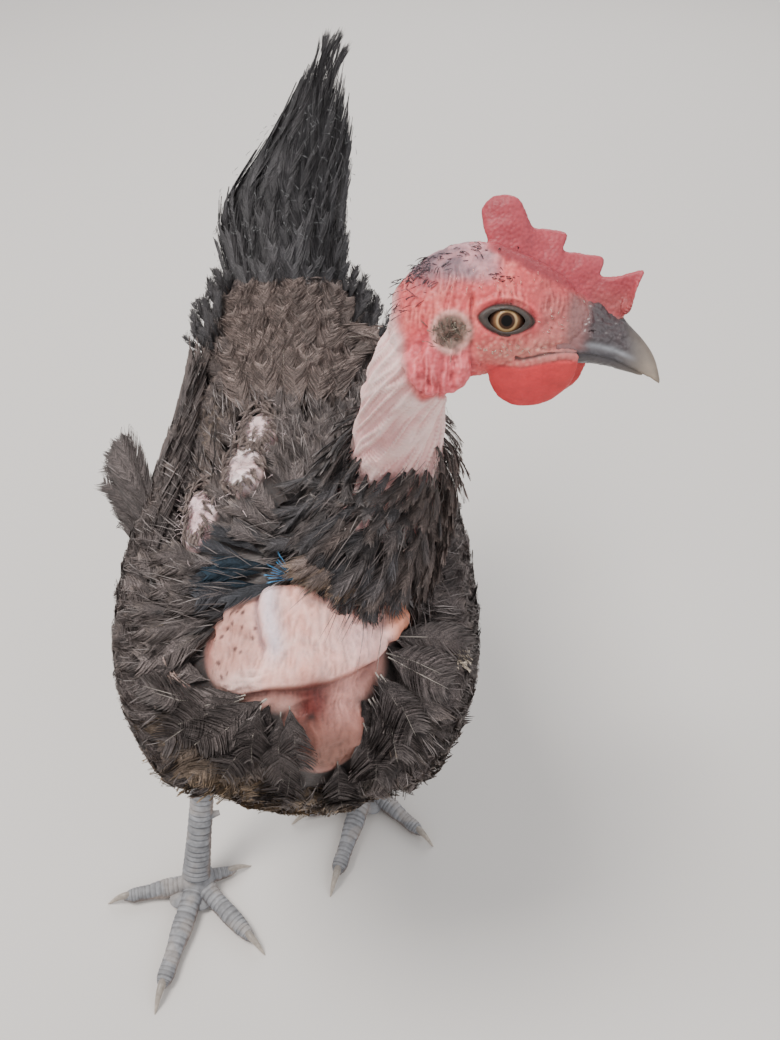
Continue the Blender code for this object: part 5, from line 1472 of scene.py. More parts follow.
class Coat:
    """Feathers gathered for one piece."""

    def __init__(self):
        self.points, self.quads, self.tints, self.places, self.lies = [], [], [], [], []
        self.start = 0

    def add(self, kind, paths, normals, halves, base, fringe, shaft, places, camber, rng,
            amount=0.6, reach=0.55, root_dark=0.45):
        """Feathers of one kind along paths (count, stations, 3), each with its own colours."""
        count = len(paths)
        choice = np.array([rng.randrange(len(TEMPLATES[kind])) for _ in range(count)])
        halves = np.broadcast_to(halves, count)
        base, fringe, shaft, places = (
            np.broadcast_to(value, (count, np.shape(value)[-1])) for value in (base, fringe, shaft, places))
        for k, template in enumerate(TEMPLATES[kind]):
            mine = np.nonzero(choice == k)[0]
            if len(mine):
                self._add(template, paths[mine], normals[mine], halves[mine], base[mine],
                          fringe[mine], shaft[mine], places[mine], camber, amount, reach, root_dark,
                          np.array([rng.random() * 400 for _ in mine]))

    def one(self, kind, path, face, *rest, **more):
        """One feather, whose face is the same all along or one row for each station."""
        self.add(kind, path[None], np.broadcast_to(face, path.shape)[None], *rest, **more)

    def _add(self, template, paths, normals, halves, base, fringe, shaft, places, camber, amount,
             reach, root_dark, odd):
        u, v, w = template["points"].T
        last = paths.shape[1] - 1
        place = np.clip(v, 0, 1.04) * last
        low = np.minimum(place.astype(int), last - 1)
        f = (place - low)[None, :, None]
        tangents = np.gradient(paths, axis=1)
        centre = paths[:, low] * (1 - f) + paths[:, low + 1] * f
        along = units(tangents[:, low] * (1 - f) + tangents[:, low + 1] * f)
        face = normals[:, low] * (1 - f) + normals[:, low + 1] * f
        side = units(np.cross(along, face))
        face = np.cross(side, along)
        half = halves[:, None, None]
        points = centre + side * u[None, :, None] * half
        points += face * (w - camber * u * u)[None, :, None] * half
        edges, tones, shafts = template["edges"], template["tones"], template["shafts"]
        fade = (root_dark + (1 - root_dark) * clamp(v * 1.6)) * (1 + 0.22 * tones)
        tint = base[:, None, :] * fade[None, :, None]
        tip = np.maximum(ramp(reach, 1.0, edges), ramp(0.84, 1.0, v) * 0.9)
        mix = clamp(tip * amount * (1 + 0.4 * tones))[None, :, None]
        tint = tint * (1 - mix) + fringe[:, None, :] * mix
        quill = shafts[None, :, None]
        tint = tint * (1 - quill) + shaft[:, None, :] * quill
        spot = places[:, None, :] + 0.0015 * np.stack([u, 2 * v - 1], 1)[None]
        length = np.linalg.norm(np.diff(paths, axis=1), axis=2).sum(1) * 1000
        lie = np.empty(points.shape)
        lie[:, :, 0] = template["lies"][None, :, 0] * length[:, None] * 2.6 + odd[:, None]
        lie[:, :, 1] = template["lies"][None, :, 1] * halves[:, None] * 1000 * 0.3
        lie[:, :, 2] = odd[:, None] * 0.37 + np.sign(u)[None, :] * 7.0
        count, size = len(paths), len(u)
        self.points.append(points.reshape(-1, 3))
        self.tints.append(clamp(tint).reshape(-1, 3))
        self.places.append(spot.reshape(-1, 2))
        self.lies.append(lie.reshape(-1, 3))
        starts = self.start + size * np.arange(count)
        self.quads.append((template["quads"][None] + starts[:, None, None]).reshape(-1, 4))
        self.start += count * size

    def build(self, name, kind, slot, *replaced):
        points = np.concatenate(self.points)
        quads = np.concatenate(self.quads)
        made = new_object(name, points, quads)
        paint(made.data, np.concatenate(self.tints))
        lie = made.data.attributes.new("Barb", "FLOAT_VECTOR", "POINT")
        lie.data.foreach_set("vector", np.concatenate(self.lies).astype(np.float32).ravel())
        layer = made.data.uv_layers.new(name="OFBake")
        corners = np.empty(len(made.data.loops), np.int32)
        made.data.loops.foreach_get("vertex_index", corners)
        spots = np.clip(np.concatenate(self.places), 0.0, 1.0)
        layer.data.foreach_set("uv", spots[corners].astype(np.float32).ravel())
        print("coat", name, "triangles", 2 * len(quads))
        return finish(made, kind, slot, *replaced)


def grid(place, rows, columns, first=(0.0, 1.0), second=(0.0, 1.0)):
    """Points of a surface on a grid, with where each lies on it."""
    a = np.linspace(*first, rows)
    b = np.linspace(*second, columns)
    points = np.array([[place(x, y) for y in b] for x in a])
    where = np.stack(np.meshgrid(a, b, indexing="ij"), 2)
    return points, where


def tree_of(*surfaces):
    """A search tree over grids of points."""
    points, faces, start = [], [], 0
    for surface in surfaces:
        rows, columns = surface.shape[:2]
        index = start + np.arange(rows * columns).reshape(rows, columns)
        quads = np.stack([index[:-1, :-1], index[1:, :-1], index[1:, 1:], index[:-1, 1:]], 2)
        points.append(surface.reshape(-1, 3))
        faces.append(quads.reshape(-1, 4))
        start += rows * columns
    return BVHTree.FromPolygons(
        np.concatenate(points).tolist(), np.concatenate(faces).tolist())


def scatter(surface, where, spacing, rng, many=40000):
    """Points strewn evenly over a grid, no two nearer than the spacing, and where they lie."""
    a, b = surface[:-1, :-1], surface[1:, :-1]
    c, d = surface[1:, 1:], surface[:-1, 1:]
    area = np.linalg.norm(np.cross(c - a, d - b), axis=2)
    odds = (area / area.sum()).ravel()
    picker = np.random.RandomState(rng.randrange(1 << 30))
    cells = picker.choice(len(odds), many, p=odds)
    i, j = np.unravel_index(cells, area.shape)
    x, y = picker.rand(many, 1), picker.rand(many, 1)

    def blend(table):
        return (
            table[i, j] * (1 - x) * (1 - y) + table[i + 1, j] * x * (1 - y)
            + table[i + 1, j + 1] * x * y + table[i, j + 1] * (1 - x) * y)

    points, places = blend(surface), blend(where)
    kept, cell, taken = [], {}, spacing
    for k, point in enumerate(points):
        key = tuple((point // taken).astype(int))
        near = [
            other for dx in (-1, 0, 1) for dy in (-1, 0, 1) for dz in (-1, 0, 1)
            for other in cell.get((key[0] + dx, key[1] + dy, key[2] + dz), ())
        ]
        if all(((points[other] - point) ** 2).sum() > taken * taken for other in near):
            cell.setdefault(key, []).append(k)
            kept.append(k)
    return points[kept], places[kept]


def nearest(tree, point):
    """The place on a surface that is nearest to a point, and its normal."""
    spot, normal, _, _ = tree.find_nearest(Vector(point))
    return np.array(spot), np.array(normal)


def facing(normal, way):
    return -normal if np.dot(normal, way) < 0 else normal


def arc(root, tip, bend, stations=5):
    """A path from root to tip that bows out by bend half way."""
    return np.array([
        root + (tip - root) * t + bend * math.sin(math.pi * t) for t in np.linspace(0, 1, stations)])


def drape(tree, inside, points, directions, lengths, lifts, rng, spread=0.2, stiff=0.1):
    """Paths that start at points and lie along a surface: lifts is (root, middle, tip) for each."""
    paths, normals = [], []
    inside = np.broadcast_to(inside, points.shape)
    shares = np.linspace(0, 1, 5)[:, None]
    for k, point in enumerate(points):
        spot, normal = nearest(tree, point)
        normal = facing(normal, spot - inside[k])
        heading = unit(directions[k] - np.dot(directions[k], normal) * normal)
        turn = rng.gauss(0, spread)
        heading = heading * math.cos(turn) + np.cross(normal, heading) * math.sin(turn)
        stops, faces = [spot + normal * lifts[k][0]], [normal]
        for share, lift in ((0.5, lifts[k][1]), (1.0, lifts[k][2])):
            wanted = spot + heading * lengths[k] * share
            goal, face = nearest(tree, wanted)
            face = facing(face, normal)
            off = max(np.dot(wanted - goal, face), 0.0) * stiff
            stops.append(goal + face * (lift + off))
            faces.append(face)
        knee = 2 * stops[1] - (stops[0] + stops[2]) / 2
        paths.append((1 - shares) ** 2 * stops[0] + 2 * shares * (1 - shares) * knee
                     + shares ** 2 * stops[2])
        tilt = rng.gauss(0, 0.12)
        lean = np.cross(normal, heading) * tilt
        normals.append(units((1 - shares) * faces[0] + shares * faces[2] + lean))
    return np.array(paths).reshape(-1, 5, 3), np.array(normals).reshape(-1, 5, 3)


def gauss_rows(rng, count, columns):
    rows = [[rng.gauss(0, 1) for _ in range(columns)] for _ in range(count)]
    return np.array(rows).reshape(count, columns)


def gauss_point(rng, size=1.0):
    return gauss_rows(rng, 1, 3)[0] * size


def chances(rng, count):
    return np.array([rng.random() for _ in range(count)])


def varied(colour, draws, amount, least=-2, most=2):
    """One row of the colour for each draw, lighter or darker by it."""
    return colour * (1 + amount * np.clip(draws, least, most))[:, None]


def in_patches(points, seed):
    """Lighter and darker patches of the plumage, a few feathers wide."""
    return (1 + 0.5 * np.clip(bumpy(points, 60.0, seed), -0.6, 0.8))[:, None]


def dress(coat, rows, loose, chosen, rng):
    """Adds the chosen feathers; rows holds their paths, normals, half widths, three colours and places."""
    for kind, mask in (("body", chosen & ~loose), ("loose", chosen & loose)):
        coat.add(kind, *(row[mask] for row in rows), 0.16, rng, amount=0.7)


WING_EDGES = ((-0.14, 0.1), (-0.16, 0.1), (1.16, 0.78))
WING_SUNK = 0.001


def wing_mound(side):
    """The wing's rounded outer form, sinking into the trunk at its front and at both long edges."""

    def place(u, v, lift):
        s, angle, flare = wing_spot(side, u, v)
        edge = 1.0
        for (low, high), at in zip(WING_EDGES, (u, v, v)):
            edge *= float(ramp(low, high, at))
        return torso_place(s, angle, -WING_SUNK + (WING_REST + WING_SUNK + flare + lift) * edge)

    return place


WING_RISE = ((-0.14, 0.006), (0.1, 0.0098), (0.4, 0.0092), (0.62, 0.0058), (0.85, 0.003), (1.1, 0.0015))


def coat_surfaces():
    """The trunk with both wings on it, for feathers to lie on."""
    trunk, where = grid(trunk_place, 90, 121)
    wings = []
    for side in (1, -1):
        place = wing_mound(side)
        surface, _ = grid(
            lambda u, v: place(u, v, read_off(WING_RISE, u))[0], 30, 26, (-0.13, 0.98), (-0.14, 1.14))
        wings.append(surface)
    return trunk, where, wings


def flow(points):
    """Which way the body feathers point: out from the foot of the neck, and back."""
    away = units(points - NECK_FOOT)
    return away + np.array([0.0, 0.55, 0.05])


def under_wing(places):
    """Which places on the trunk are hidden under a wing."""
    s = places[:, 0] ** GRADING
    angle = np.degrees(TAU * places[:, 1])
    angle = np.minimum(angle, 360 - angle)
    u = (s - WING_ALONG[0]) / (WING_ALONG[1] - WING_ALONG[0])
    low = np.interp(u, *zip(*WING_LOWER))
    high = np.interp(u, *zip(*WING_UPPER))
    v = (angle - low) / (high - low)
    return (u > 0.06) & (u < 0.72) & (v > 0.08) & (v < 0.9)


def clear_ends(paths):
    """Which feathers keep off the bare patches along their whole length."""
    return np.array([max(bare_share(spot) for spot in path[1:]) < 0.6 for path in paths])


def mixed(first, second, share):
    share = np.asarray(share, float)[:, None]
    return first * (1 - share) + second * share


TORSO_CENTRE = np.array([0.0, -0.06, 0.205])
NECK_FOOT = np.array([0.02, -0.098, 0.262])


def trunk_place(s, turn):
    return torso_raw(s ** GRADING, TAU * turn)


TRUNK, TRUNK_PLACES, WINGS = coat_surfaces()
COAT_TREE = tree_of(TRUNK, *WINGS)


def add_hairs(coat, tree, inside, points, directions, count, rng, length=0.01, pale=1.0, lift=0.0008):
    """Loose barbs that lie over the feathers as fine, mostly pale strands."""
    picks = np.array([rng.randrange(len(points)) for _ in range(count)])
    jitter = gauss_rows(rng, count, 6)
    starts = points[picks] + jitter[:, :3] * 0.0018
    lengths = length * np.exp(0.35 * jitter[:, 3])
    rise = lift * (0.5 + 0.5 * np.abs(jitter[:, 4:5]))
    lifts = np.concatenate([rise * 0.4, rise * 1.3, rise], 1)
    inside = np.broadcast_to(inside, (len(points), 3))[picks]
    paths, normals = drape(tree, inside, starts, directions[picks], lengths, lifts, rng, 0.2)
    light = np.clip(np.abs(jitter[:, 5]) - 0.5, 0, 2.0) * 0.5 * pale
    colour = mixed(DARK * 1.2, GREY * 1.6, clamp(light))
    halves = 0.00014 * np.exp(0.25 * jitter[:, 0])
    spots = np.clip(np.stack([0.5 + starts[:, 0] * 3, 0.5 + (starts[:, 1] + 0.05) * 2.5], 1), 0.01, 0.99)
    coat.add("hair", paths, normals, halves, colour, colour, colour, spots, 0.0, rng, root_dark=1.0)


def make_trunk_coat():
    rng = random.Random(SEEDS["trunk"])
    points, places = scatter(TRUNK, TRUNK_PLACES, TRUNK_GAP, rng, 60000)
    bare = np.array([bare_share(p) for p in points])
    keep = bare + np.array([rng.uniform(-0.2, 0.2) for _ in points]) < 0.45
    keep &= np.linalg.norm(points - NECK_FOOT, axis=1) > 0.02
    keep &= ~under_wing(places)
    points, places = points[keep], places[keep]
    directions = flow(points)
    x, y, z = points.T
    count = len(points)
    jitter = gauss_rows(rng, count, 5)
    front = ramp(-0.105, -0.135, y)
    low = ramp(0.215, 0.165, z)
    rear = ramp(-0.02, 0.04, y)
    top = ramp(0.235, 0.26, z)
    lengths = 0.025 + 0.006 * front + 0.004 * low + 0.008 * rear
    lengths *= 1 + 0.13 * jitter[:, 0]
    halves = (0.0046 + 0.003 * front + 0.0016 * low + 0.0014 * rear) * (1 + 0.14 * jitter[:, 1])
    stray = (chances(rng, count) < 0.03) * 0.0016
    lifts = np.stack([
        np.full(count, -0.0052), -0.0014 + 0.0004 * jitter[:, 2],
        0.0 + 0.0006 * np.abs(jitter[:, 3]) + stray], 1)
    paths, normals = drape(COAT_TREE, TORSO_CENTRE, points, directions, lengths, lifts, rng, 0.2, SUPPLE)

    base = varied(DARK, jitter[:, 1], 0.25)
    base = mixed(base, BROWN * 0.65, 0.75 * top * ramp(-0.03, 0.02, y) * ramp(0.055, 0.035, y))
    base = mixed(base, BLACK, 0.8 * ramp(0.05, 0.065, y))
    base = mixed(base, BROWN * 0.6, 0.5 * front * low)
    tan_back = bell(x, -0.03, 0.02) * bell(y, -0.055, 0.03) * top
    base = mixed(base, BROWN * 0.9, 0.6 * tan_back)
    base *= in_patches(points, 5.0)
    fringe = varied(GREY * (0.58, 0.53, 0.5), jitter[:, 4], 0.45, -1.5, 2.2)
    fringe = mixed(fringe, BROWN * 2.0, top * ramp(-0.06, 0.0, y) * 0.7)
    fringe = mixed(fringe, TAN * 0.6, 0.6 * tan_back)
    golden = front * ramp(0.242, 0.214, z) * ramp(0.04, 0.004, x)
    fringe = mixed(fringe, TAN * 1.1, np.clip(0.9 * golden + 0.35 * front * low, 0, 0.9))
    base = mixed(base, TAN * 0.62, 0.75 * golden)
    shaft = mixed(base * 1.2, PALE * 0.45, (jitter[:, 2] > 1.2) * 0.5)
    # Painted sheen: feathers near the foot of the neck tinted dark blue for their iridescent gloss
    blue = bell(x, -0.004, 0.009) * bell(y, -0.113, 0.009) * top
    base = mixed(base, np.array([0.006, 0.015, 0.024]), np.clip(blue * 1.3, 0, 0.95))
    fringe = mixed(fringe, np.array([0.012, 0.034, 0.054]), np.clip(blue * 1.2, 0, 0.9))

    keep = clear_ends(paths)
    loose = chances(rng, count) < np.where(top > 0.5, 0.75, 0.5)
    regions = {
        "breast": y < -0.085, "saddle": (y >= -0.085) & (y > 0.0) & (z > 0.215),
        "belly": (y >= -0.085) & (z <= 0.215), "back": (y >= -0.085) & (y <= 0.0) & (z > 0.215)}
    more = {"breast": (1500, add_breast_feathers), "saddle": (700, add_saddle_feathers),
            "belly": (500, add_vent_feathers), "back": (900, None)}
    for name, part in regions.items():
        coat = Coat()
        dress(coat, (paths, normals, halves, base, fringe, shaft, places), loose, part & keep, rng)
        spare = points[part & keep]
        hairs, add_more = more[name]
        add_hairs(coat, COAT_TREE, TORSO_CENTRE, spare, flow(spare), hairs, rng)
        if add_more:
            add_more(coat, rng)
        coat.build("coat_" + name, "feather", "body_feathers")


BREAST_FEATHERS = (
    ((-0.0007, -0.1539, 0.244), (-0.0286, -0.1543, 0.2183), 0.0105, 0.9),
    ((-0.0029, -0.1563, 0.2435), (-0.0066, -0.1628, 0.2205), 0.009, 0.8),
    ((0.004, -0.158, 0.2425), (0.0035, -0.1647, 0.211), 0.0085, 0.5),
    ((-0.0092, -0.1533, 0.2435), (-0.0346, -0.148, 0.2221), 0.0095, 0.6),
    ((-0.016, -0.1525, 0.24), (-0.0454, -0.1514, 0.2104), 0.0095, 0.4),
    ((-0.021, -0.1502, 0.237), (-0.0488, -0.1378, 0.2268), 0.0085, 0.4),
    ((-0.006, -0.16, 0.233), (-0.02, -0.16, 0.205), 0.0095, 0.7),
    ((0.0395, -0.141, 0.241), (0.053, -0.1518, 0.215), 0.011, 0.6),
    ((0.0365, -0.1485, 0.237), (0.0455, -0.1576, 0.2064), 0.0115, 0.5),
    ((0.0335, -0.156, 0.231), (0.0375, -0.1591, 0.1966), 0.0105, 0.3),
    ((0.042, -0.1345, 0.243), (0.0654, -0.1374, 0.2264), 0.01, 0.5),
    ((0.046, -0.128, 0.248), (0.0709, -0.1189, 0.2273), 0.009, 0.4),
    ((0.024, -0.164, 0.215), (0.023, -0.1552, 0.18), 0.01, 0.3),
    ((0.006, -0.1645, 0.215), (-0.0006, -0.1613, 0.187), 0.01, 0.3),
)


def lie_on(tree, inside, root, tip, lifts, bow=0.0, stations=7):
    """A path on a surface from one point to another, and its normals."""
    root, tip = np.array(root, float), np.array(tip, float)
    path, faces = [], []
    for t in np.linspace(0, 1, stations):
        spot, face = nearest(tree, root + (tip - root) * t)
        face = facing(face, spot - inside)
        faces.append(face)
        across = unit(np.cross(tip - root, faces[0]))
        path.append(spot + face * np.interp(t, (0, 0.5, 1), lifts) + across * bow * math.sin(math.pi * t))
    return np.array(path), np.array(faces)


def add_breast_feathers(coat, rng):
    for root, tip, half, pale in BREAST_FEATHERS:
        for copy in range(2):
            shift = np.array([rng.uniform(-1, 1), 0.0, rng.uniform(-1, 1)]) * 0.003 * copy
            path, faces = lie_on(
                COAT_TREE, TORSO_CENTRE, np.array(root) + shift, np.array(tip) + shift * 2,
                (-0.001 - 0.001 * copy, 0.003, 0.0036 - 0.0014 * copy), rng.uniform(-0.002, 0.002))
            tone = 1 + rng.uniform(-0.2, 0.2)
            coat.one("broad", path, faces, half, DARK * 1.15 * tone, GREY * 0.7 * tone,
                     GREY * 0.6 * (1 - pale) + PALE * 0.8 * pale, np.array([0.2, 0.5]) + shift[:2] * 10,
                     0.14, rng, amount=0.45, reach=0.6, root_dark=0.8)


def add_vent_feathers(coat, rng):
    """Soft feathers that close the trunk's rear end below the tail, from its rim to its middle."""
    rings = torso_rings(60, 64, 0.0)
    rim, middle = rings[-3], rings[-1].mean(0)
    for share, many in ((0.12, 8), (0.35, 18), (0.58, 26), (0.8, 34), (1.0, 44)):
        for k in range(many):
            turn = (k + rng.uniform(-0.4, 0.4)) / many * len(rim)
            edge = rim[int(turn) % len(rim)]
            root = middle + (edge - middle) * share
            root = root + np.array([0.0, 0.002 - 0.008 * share, 0.0])
            outward = unit(edge - middle)
            way = np.array([0.0, 0.55, -0.75]) + outward * 0.35
            tip = root + unit(way) * rng.uniform(0.016, 0.023)
            face = unit(np.array([0.0, 1.0, 0.35]) + outward * 0.4)
            path = arc(root, tip, face * 0.003) - face * 0.003
            tone = 1 + rng.uniform(-0.25, 0.25)
            coat.one("loose", path, face, 0.0064, DARK * 0.9 * tone,
                     GREY * 0.45 * tone, GREY * 0.4, np.array([0.97, 0.5 + 0.3 * share]), 0.14, rng,
                     amount=0.6, root_dark=0.7)


def add_saddle_feathers(coat, rng):
    """Longer soft feathers over the rump, fanned to both sides, and dark tufts at its corners."""
    for _ in range(110):
        x = rng.uniform(-0.03, 0.024)
        y = rng.uniform(-0.034, 0.034)
        root = np.array([x, y, 0.3])
        spread = (x + 0.004) * 0.55 + rng.uniform(-0.006, 0.006)
        tip = root + np.array([spread, 0.034 + rng.uniform(-0.006, 0.006), 0.0])
        path, faces = lie_on(COAT_TREE, TORSO_CENTRE, root, tip, (-0.004, 0.0012, 0.0018))
        if bare_share(path[2]) + bare_share(path[5]) > 0.5:
            continue
        tone = 1 + rng.uniform(-0.25, 0.35)
        pale = 0.6 if rng.random() < 0.4 else 0.1
        coat.one("loose", path, faces, 0.008, BROWN * 0.72 * tone, BROWN * 1.85 * tone,
                 BROWN * (1 - pale) + PALE * pale, np.array([0.75, 0.5]), 0.12, rng,
                 amount=0.7, root_dark=0.7)
    for k in range(90):
        side = -1 if k % 2 else 1
        turn = side * math.radians(rng.uniform(48, 105))
        s = rng.uniform(0.8, 0.99)
        root, normal = torso_place(s, turn, -0.002)
        out = normal * rng.uniform(0.2, 0.55) + np.array([0.0, rng.uniform(0.2, 0.9), rng.uniform(0.0, 0.5)])
        tip = root + unit(out) * rng.uniform(0.013, 0.02)
        path = arc(root, tip, normal * 0.002)
        coat.one("hackle", path, unit(normal + UP * 0.5), 0.0036, BLACK * 1.2,
                 GREY * 0.35, GREY * 0.3, np.array([0.9, 0.25 + 0.5 * (k % 2)]), 0.1, rng, amount=0.6)


def make_thigh_coat():
    rng = random.Random(SEEDS["thighs"])
    coat = Coat()
    for number, label in enumerate(LEGS):
        where = smooth_through(thigh_path(label))
        thick = radius_along(THIGH_RADII)

        def place(t, turn):
            along = heading_at(where, t, 0.01)
            return ring_about(where(t), along, SIDEWAYS, thick(t), thick(t), 1, TAU * turn)[0]

        surface, spots = grid(place, 40, 41, first=(0.12, 1.0))
        tree = tree_of(surface)
        points, places = scatter(surface, spots, THIGH_GAP, rng, 12000)
        directions = np.tile(np.array(LEGS[label]["hock"]) - LEGS[label]["hip"], (len(points), 1))
        count = len(points)
        jitter = gauss_rows(rng, count, 3)
        near = ramp(0.75, 1.0, places[:, 0])
        lengths = (0.022 - 0.009 * near) * (1 + 0.12 * jitter[:, 0])
        halves = (0.0054 - 0.0022 * near) * (1 + 0.1 * jitter[:, 1])
        lifts = np.stack([
            np.full(count, -0.004), np.full(count, -0.0012), 0.0002 + 0.0005 * jitter[:, 2]], 1)
        centres = np.array([where(t) for t in places[:, 0]])
        paths, normals = drape(tree, centres, points, directions, lengths, lifts, rng)
        base = DARK * (1 + 0.15 * jitter[:, :1])
        spread = np.stack([0.05 + 0.4 * places[:, 0] + 0.5 * number, places[:, 1]], 1)
        coat.add("loose", paths, normals, halves, base, GREY * 0.4, GREY * 0.3, spread, 0.16, rng)
    coat.build("coat_thighs", "feather", "body_feathers")


def surface_paths(place, roots, tips, lifts, tilts, stations=9):
    """Paths along a surface between places on it, with their faces tilted about their length."""
    paths, normals = [], []
    for root, tip, lift, tilt in zip(roots, tips, lifts, tilts):
        root, tip = np.array(root, float), np.array(tip, float)
        row, faces = [], []
        for t in np.linspace(0, 1, stations):
            here = root + (tip - root) * t
            point, normal = place(here[0], here[1], lift[0] + (lift[1] - lift[0]) * t)
            row.append(point)
            faces.append(normal)
        row, faces = np.array(row), np.array(faces)
        along = units(np.gradient(row, axis=0))
        side = units(np.cross(faces, along))
        faces = faces * math.cos(tilt) - side * math.sin(tilt)
        paths.append(row)
        normals.append(faces)
    return np.array(paths), np.array(normals)


WING_TIERS = (
    {"kind": "flight", "count": 7, "roots": ((0.34, 0.06), (0.46, 0.4)),
     "tips": ((0.84, -0.02), (1.0, 0.42)), "half": 0.0068, "lifts": (0.002, 0.0012)},
    {"kind": "flight", "count": 9, "roots": ((0.32, 0.2), (0.44, 0.92)),
     "tips": ((0.76, 0.14), (0.97, 0.9)), "half": 0.0078, "lifts": (0.0046, 0.0034)},
    {"kind": "covert", "count": 12, "roots": ((0.24, 0.06), (0.36, 0.98)),
     "tips": ((0.54, 0.04), (0.74, 0.97)), "half": 0.0076, "lifts": (0.0066, 0.0056)},
)
TUFT = (
    ((0.46, 0.92), (-0.099, -0.006, 0.236)), ((0.47, 0.9), (-0.1, -0.011, 0.231)),
    ((0.47, 0.94), (-0.0975, -0.001, 0.239)), ((0.46, 0.86), (-0.0985, -0.016, 0.224)),
    ((0.44, 0.88), (-0.0945, -0.02, 0.219)), ((0.43, 0.86), (-0.09, -0.026, 0.212)),
    ((0.48, 0.95), (-0.093, 0.002, 0.241)),
)


def make_wing_coat(side, label):
    rng = random.Random(SEEDS[label])
    mound = wing_mound(side)
    coat = Coat()
    for tier in WING_TIERS:
        count = tier["count"]
        roots, tips, tilts, lifts = [], [], [], []
        for i in range(count):
            t = i / (count - 1)
            root = [a + (b - a) * t for a, b in zip(*tier["roots"])]
            tip = [a + (b - a) * t for a, b in zip(*tier["tips"])]
            tip[0] += rng.uniform(-0.02, 0.02)
            tip[1] += rng.uniform(-0.02, 0.02)
            roots.append(root)
            tips.append(tip)
            tilts.append(-side * math.radians(8 + rng.uniform(-2, 2)))
            lifts.append([lift + rng.uniform(0, 0.0006) for lift in tier["lifts"]])
        paths, normals = surface_paths(mound, roots, tips, lifts, tilts)
        halves = tier["half"] * np.array([1 + rng.uniform(-0.06, 0.06) for _ in range(count)])
        shade = np.array([[1 + rng.uniform(-0.15, 0.15)] for _ in range(count)])
        coat.add(tier["kind"], paths, normals, halves, DARK * 0.95 * shade, BROWN * 1.2, GREY * 0.4,
                 np.array(roots), 0.1, rng, amount=0.45, reach=0.75, root_dark=0.8)

    surface, where = grid(
        lambda u, v: mound(u, v, read_off(WING_RISE, u))[0], 40, 34, (-0.12, 0.8), (-0.1, 1.14))
    points, places = scatter(surface, where, WING_GAP, rng, 30000)
    thin = ramp(0.5, 0.8, places[:, 0])
    keep = chances(rng, len(points)) > 0.55 * thin
    points, places, thin = points[keep], places[keep], thin[keep]
    count = len(points)
    jitter = gauss_rows(rng, count, 4)
    directions = flow(points) + np.array([0.0, 0.35, 0.0])
    lengths = (0.024 + 0.004 * thin) * (1 + 0.13 * jitter[:, 0])
    halves = (0.0048 + 0.0012 * thin) * (1 + 0.12 * jitter[:, 1])
    stray = (chances(rng, count) < 0.03) * 0.0014
    lifts = np.stack([
        np.full(count, -0.0045), np.full(count, -0.0008), 0.0002 + 0.0005 * np.abs(jitter[:, 2]) + stray], 1)
    paths, normals = drape(COAT_TREE, TORSO_CENTRE, points, directions, lengths, lifts, rng, 0.2, SUPPLE)
    base = varied(DARK, jitter[:, 1], 0.25)
    base *= in_patches(points, 9.0)
    fringe = varied(GREY * (0.56, 0.51, 0.48), jitter[:, 3], 0.45, -1.5, 2.2)
    fringe = mixed(fringe, BROWN * 1.8, clamp(np.abs(jitter[:, 0]) * 0.35))
    golden = ramp(-0.11, -0.14, points[:, 1]) * ramp(0.225, 0.19, points[:, 2])
    fringe = mixed(fringe, TAN * 0.8, 0.6 * golden)
    shaft = mixed(base * 1.2, PALE * 0.4, (jitter[:, 2] > 1.2) * 0.5)
    keep = clear_ends(paths)
    loose = chances(rng, count) < 0.6
    spots = np.clip((places + 0.15) / 1.4, 0.01, 0.99)
    dress(coat, (paths, normals, halves, base, fringe, shaft, spots), loose, keep, rng)
    add_hairs(coat, COAT_TREE, TORSO_CENTRE, points[keep], flow(points[keep]), 1000, rng)
    if side < 0:
        add_tuft(coat, mound, rng)
    coat.build("coat_wing_" + label, "feather", "body_feathers", "wing_" + label)


def add_tuft(coat, mound, rng):
    """The clump of loose feathers that stands off the right wing."""
    for (u, v), tip in TUFT:
        for copy in range(3):
            root = mound(u + rng.uniform(-0.03, 0.03), v, 0.004)[0]
            goal = np.array(tip) * (0.925, 1.0, 0.985) + gauss_point(rng, 0.0018)
            path = arc(root, goal, np.array([-0.2, 0.4, 1.0]) * 0.004, 7)
            face = unit([-0.35 + rng.gauss(0, 0.15), -0.45, 1.0])
            coat.one("broad" if copy < 2 else "loose", path, face, 0.006, DARK * 1.1,
                     GREY * 0.6, GREY * 0.5, np.array([0.5, 0.9]), 0.16, rng, amount=0.6)


def tail_wide(share, fold, lift):
    """The tail's surface, a little wider at the bend on its right side."""
    point, normal = tail_place(share, fold, lift)
    if fold < 0:
        point = point + SIDEWAYS * -0.0042 * math.exp(-(((share - 0.3) / 0.22) ** 2)) * min(-fold * 1.6, 1.0)
    return point, normal


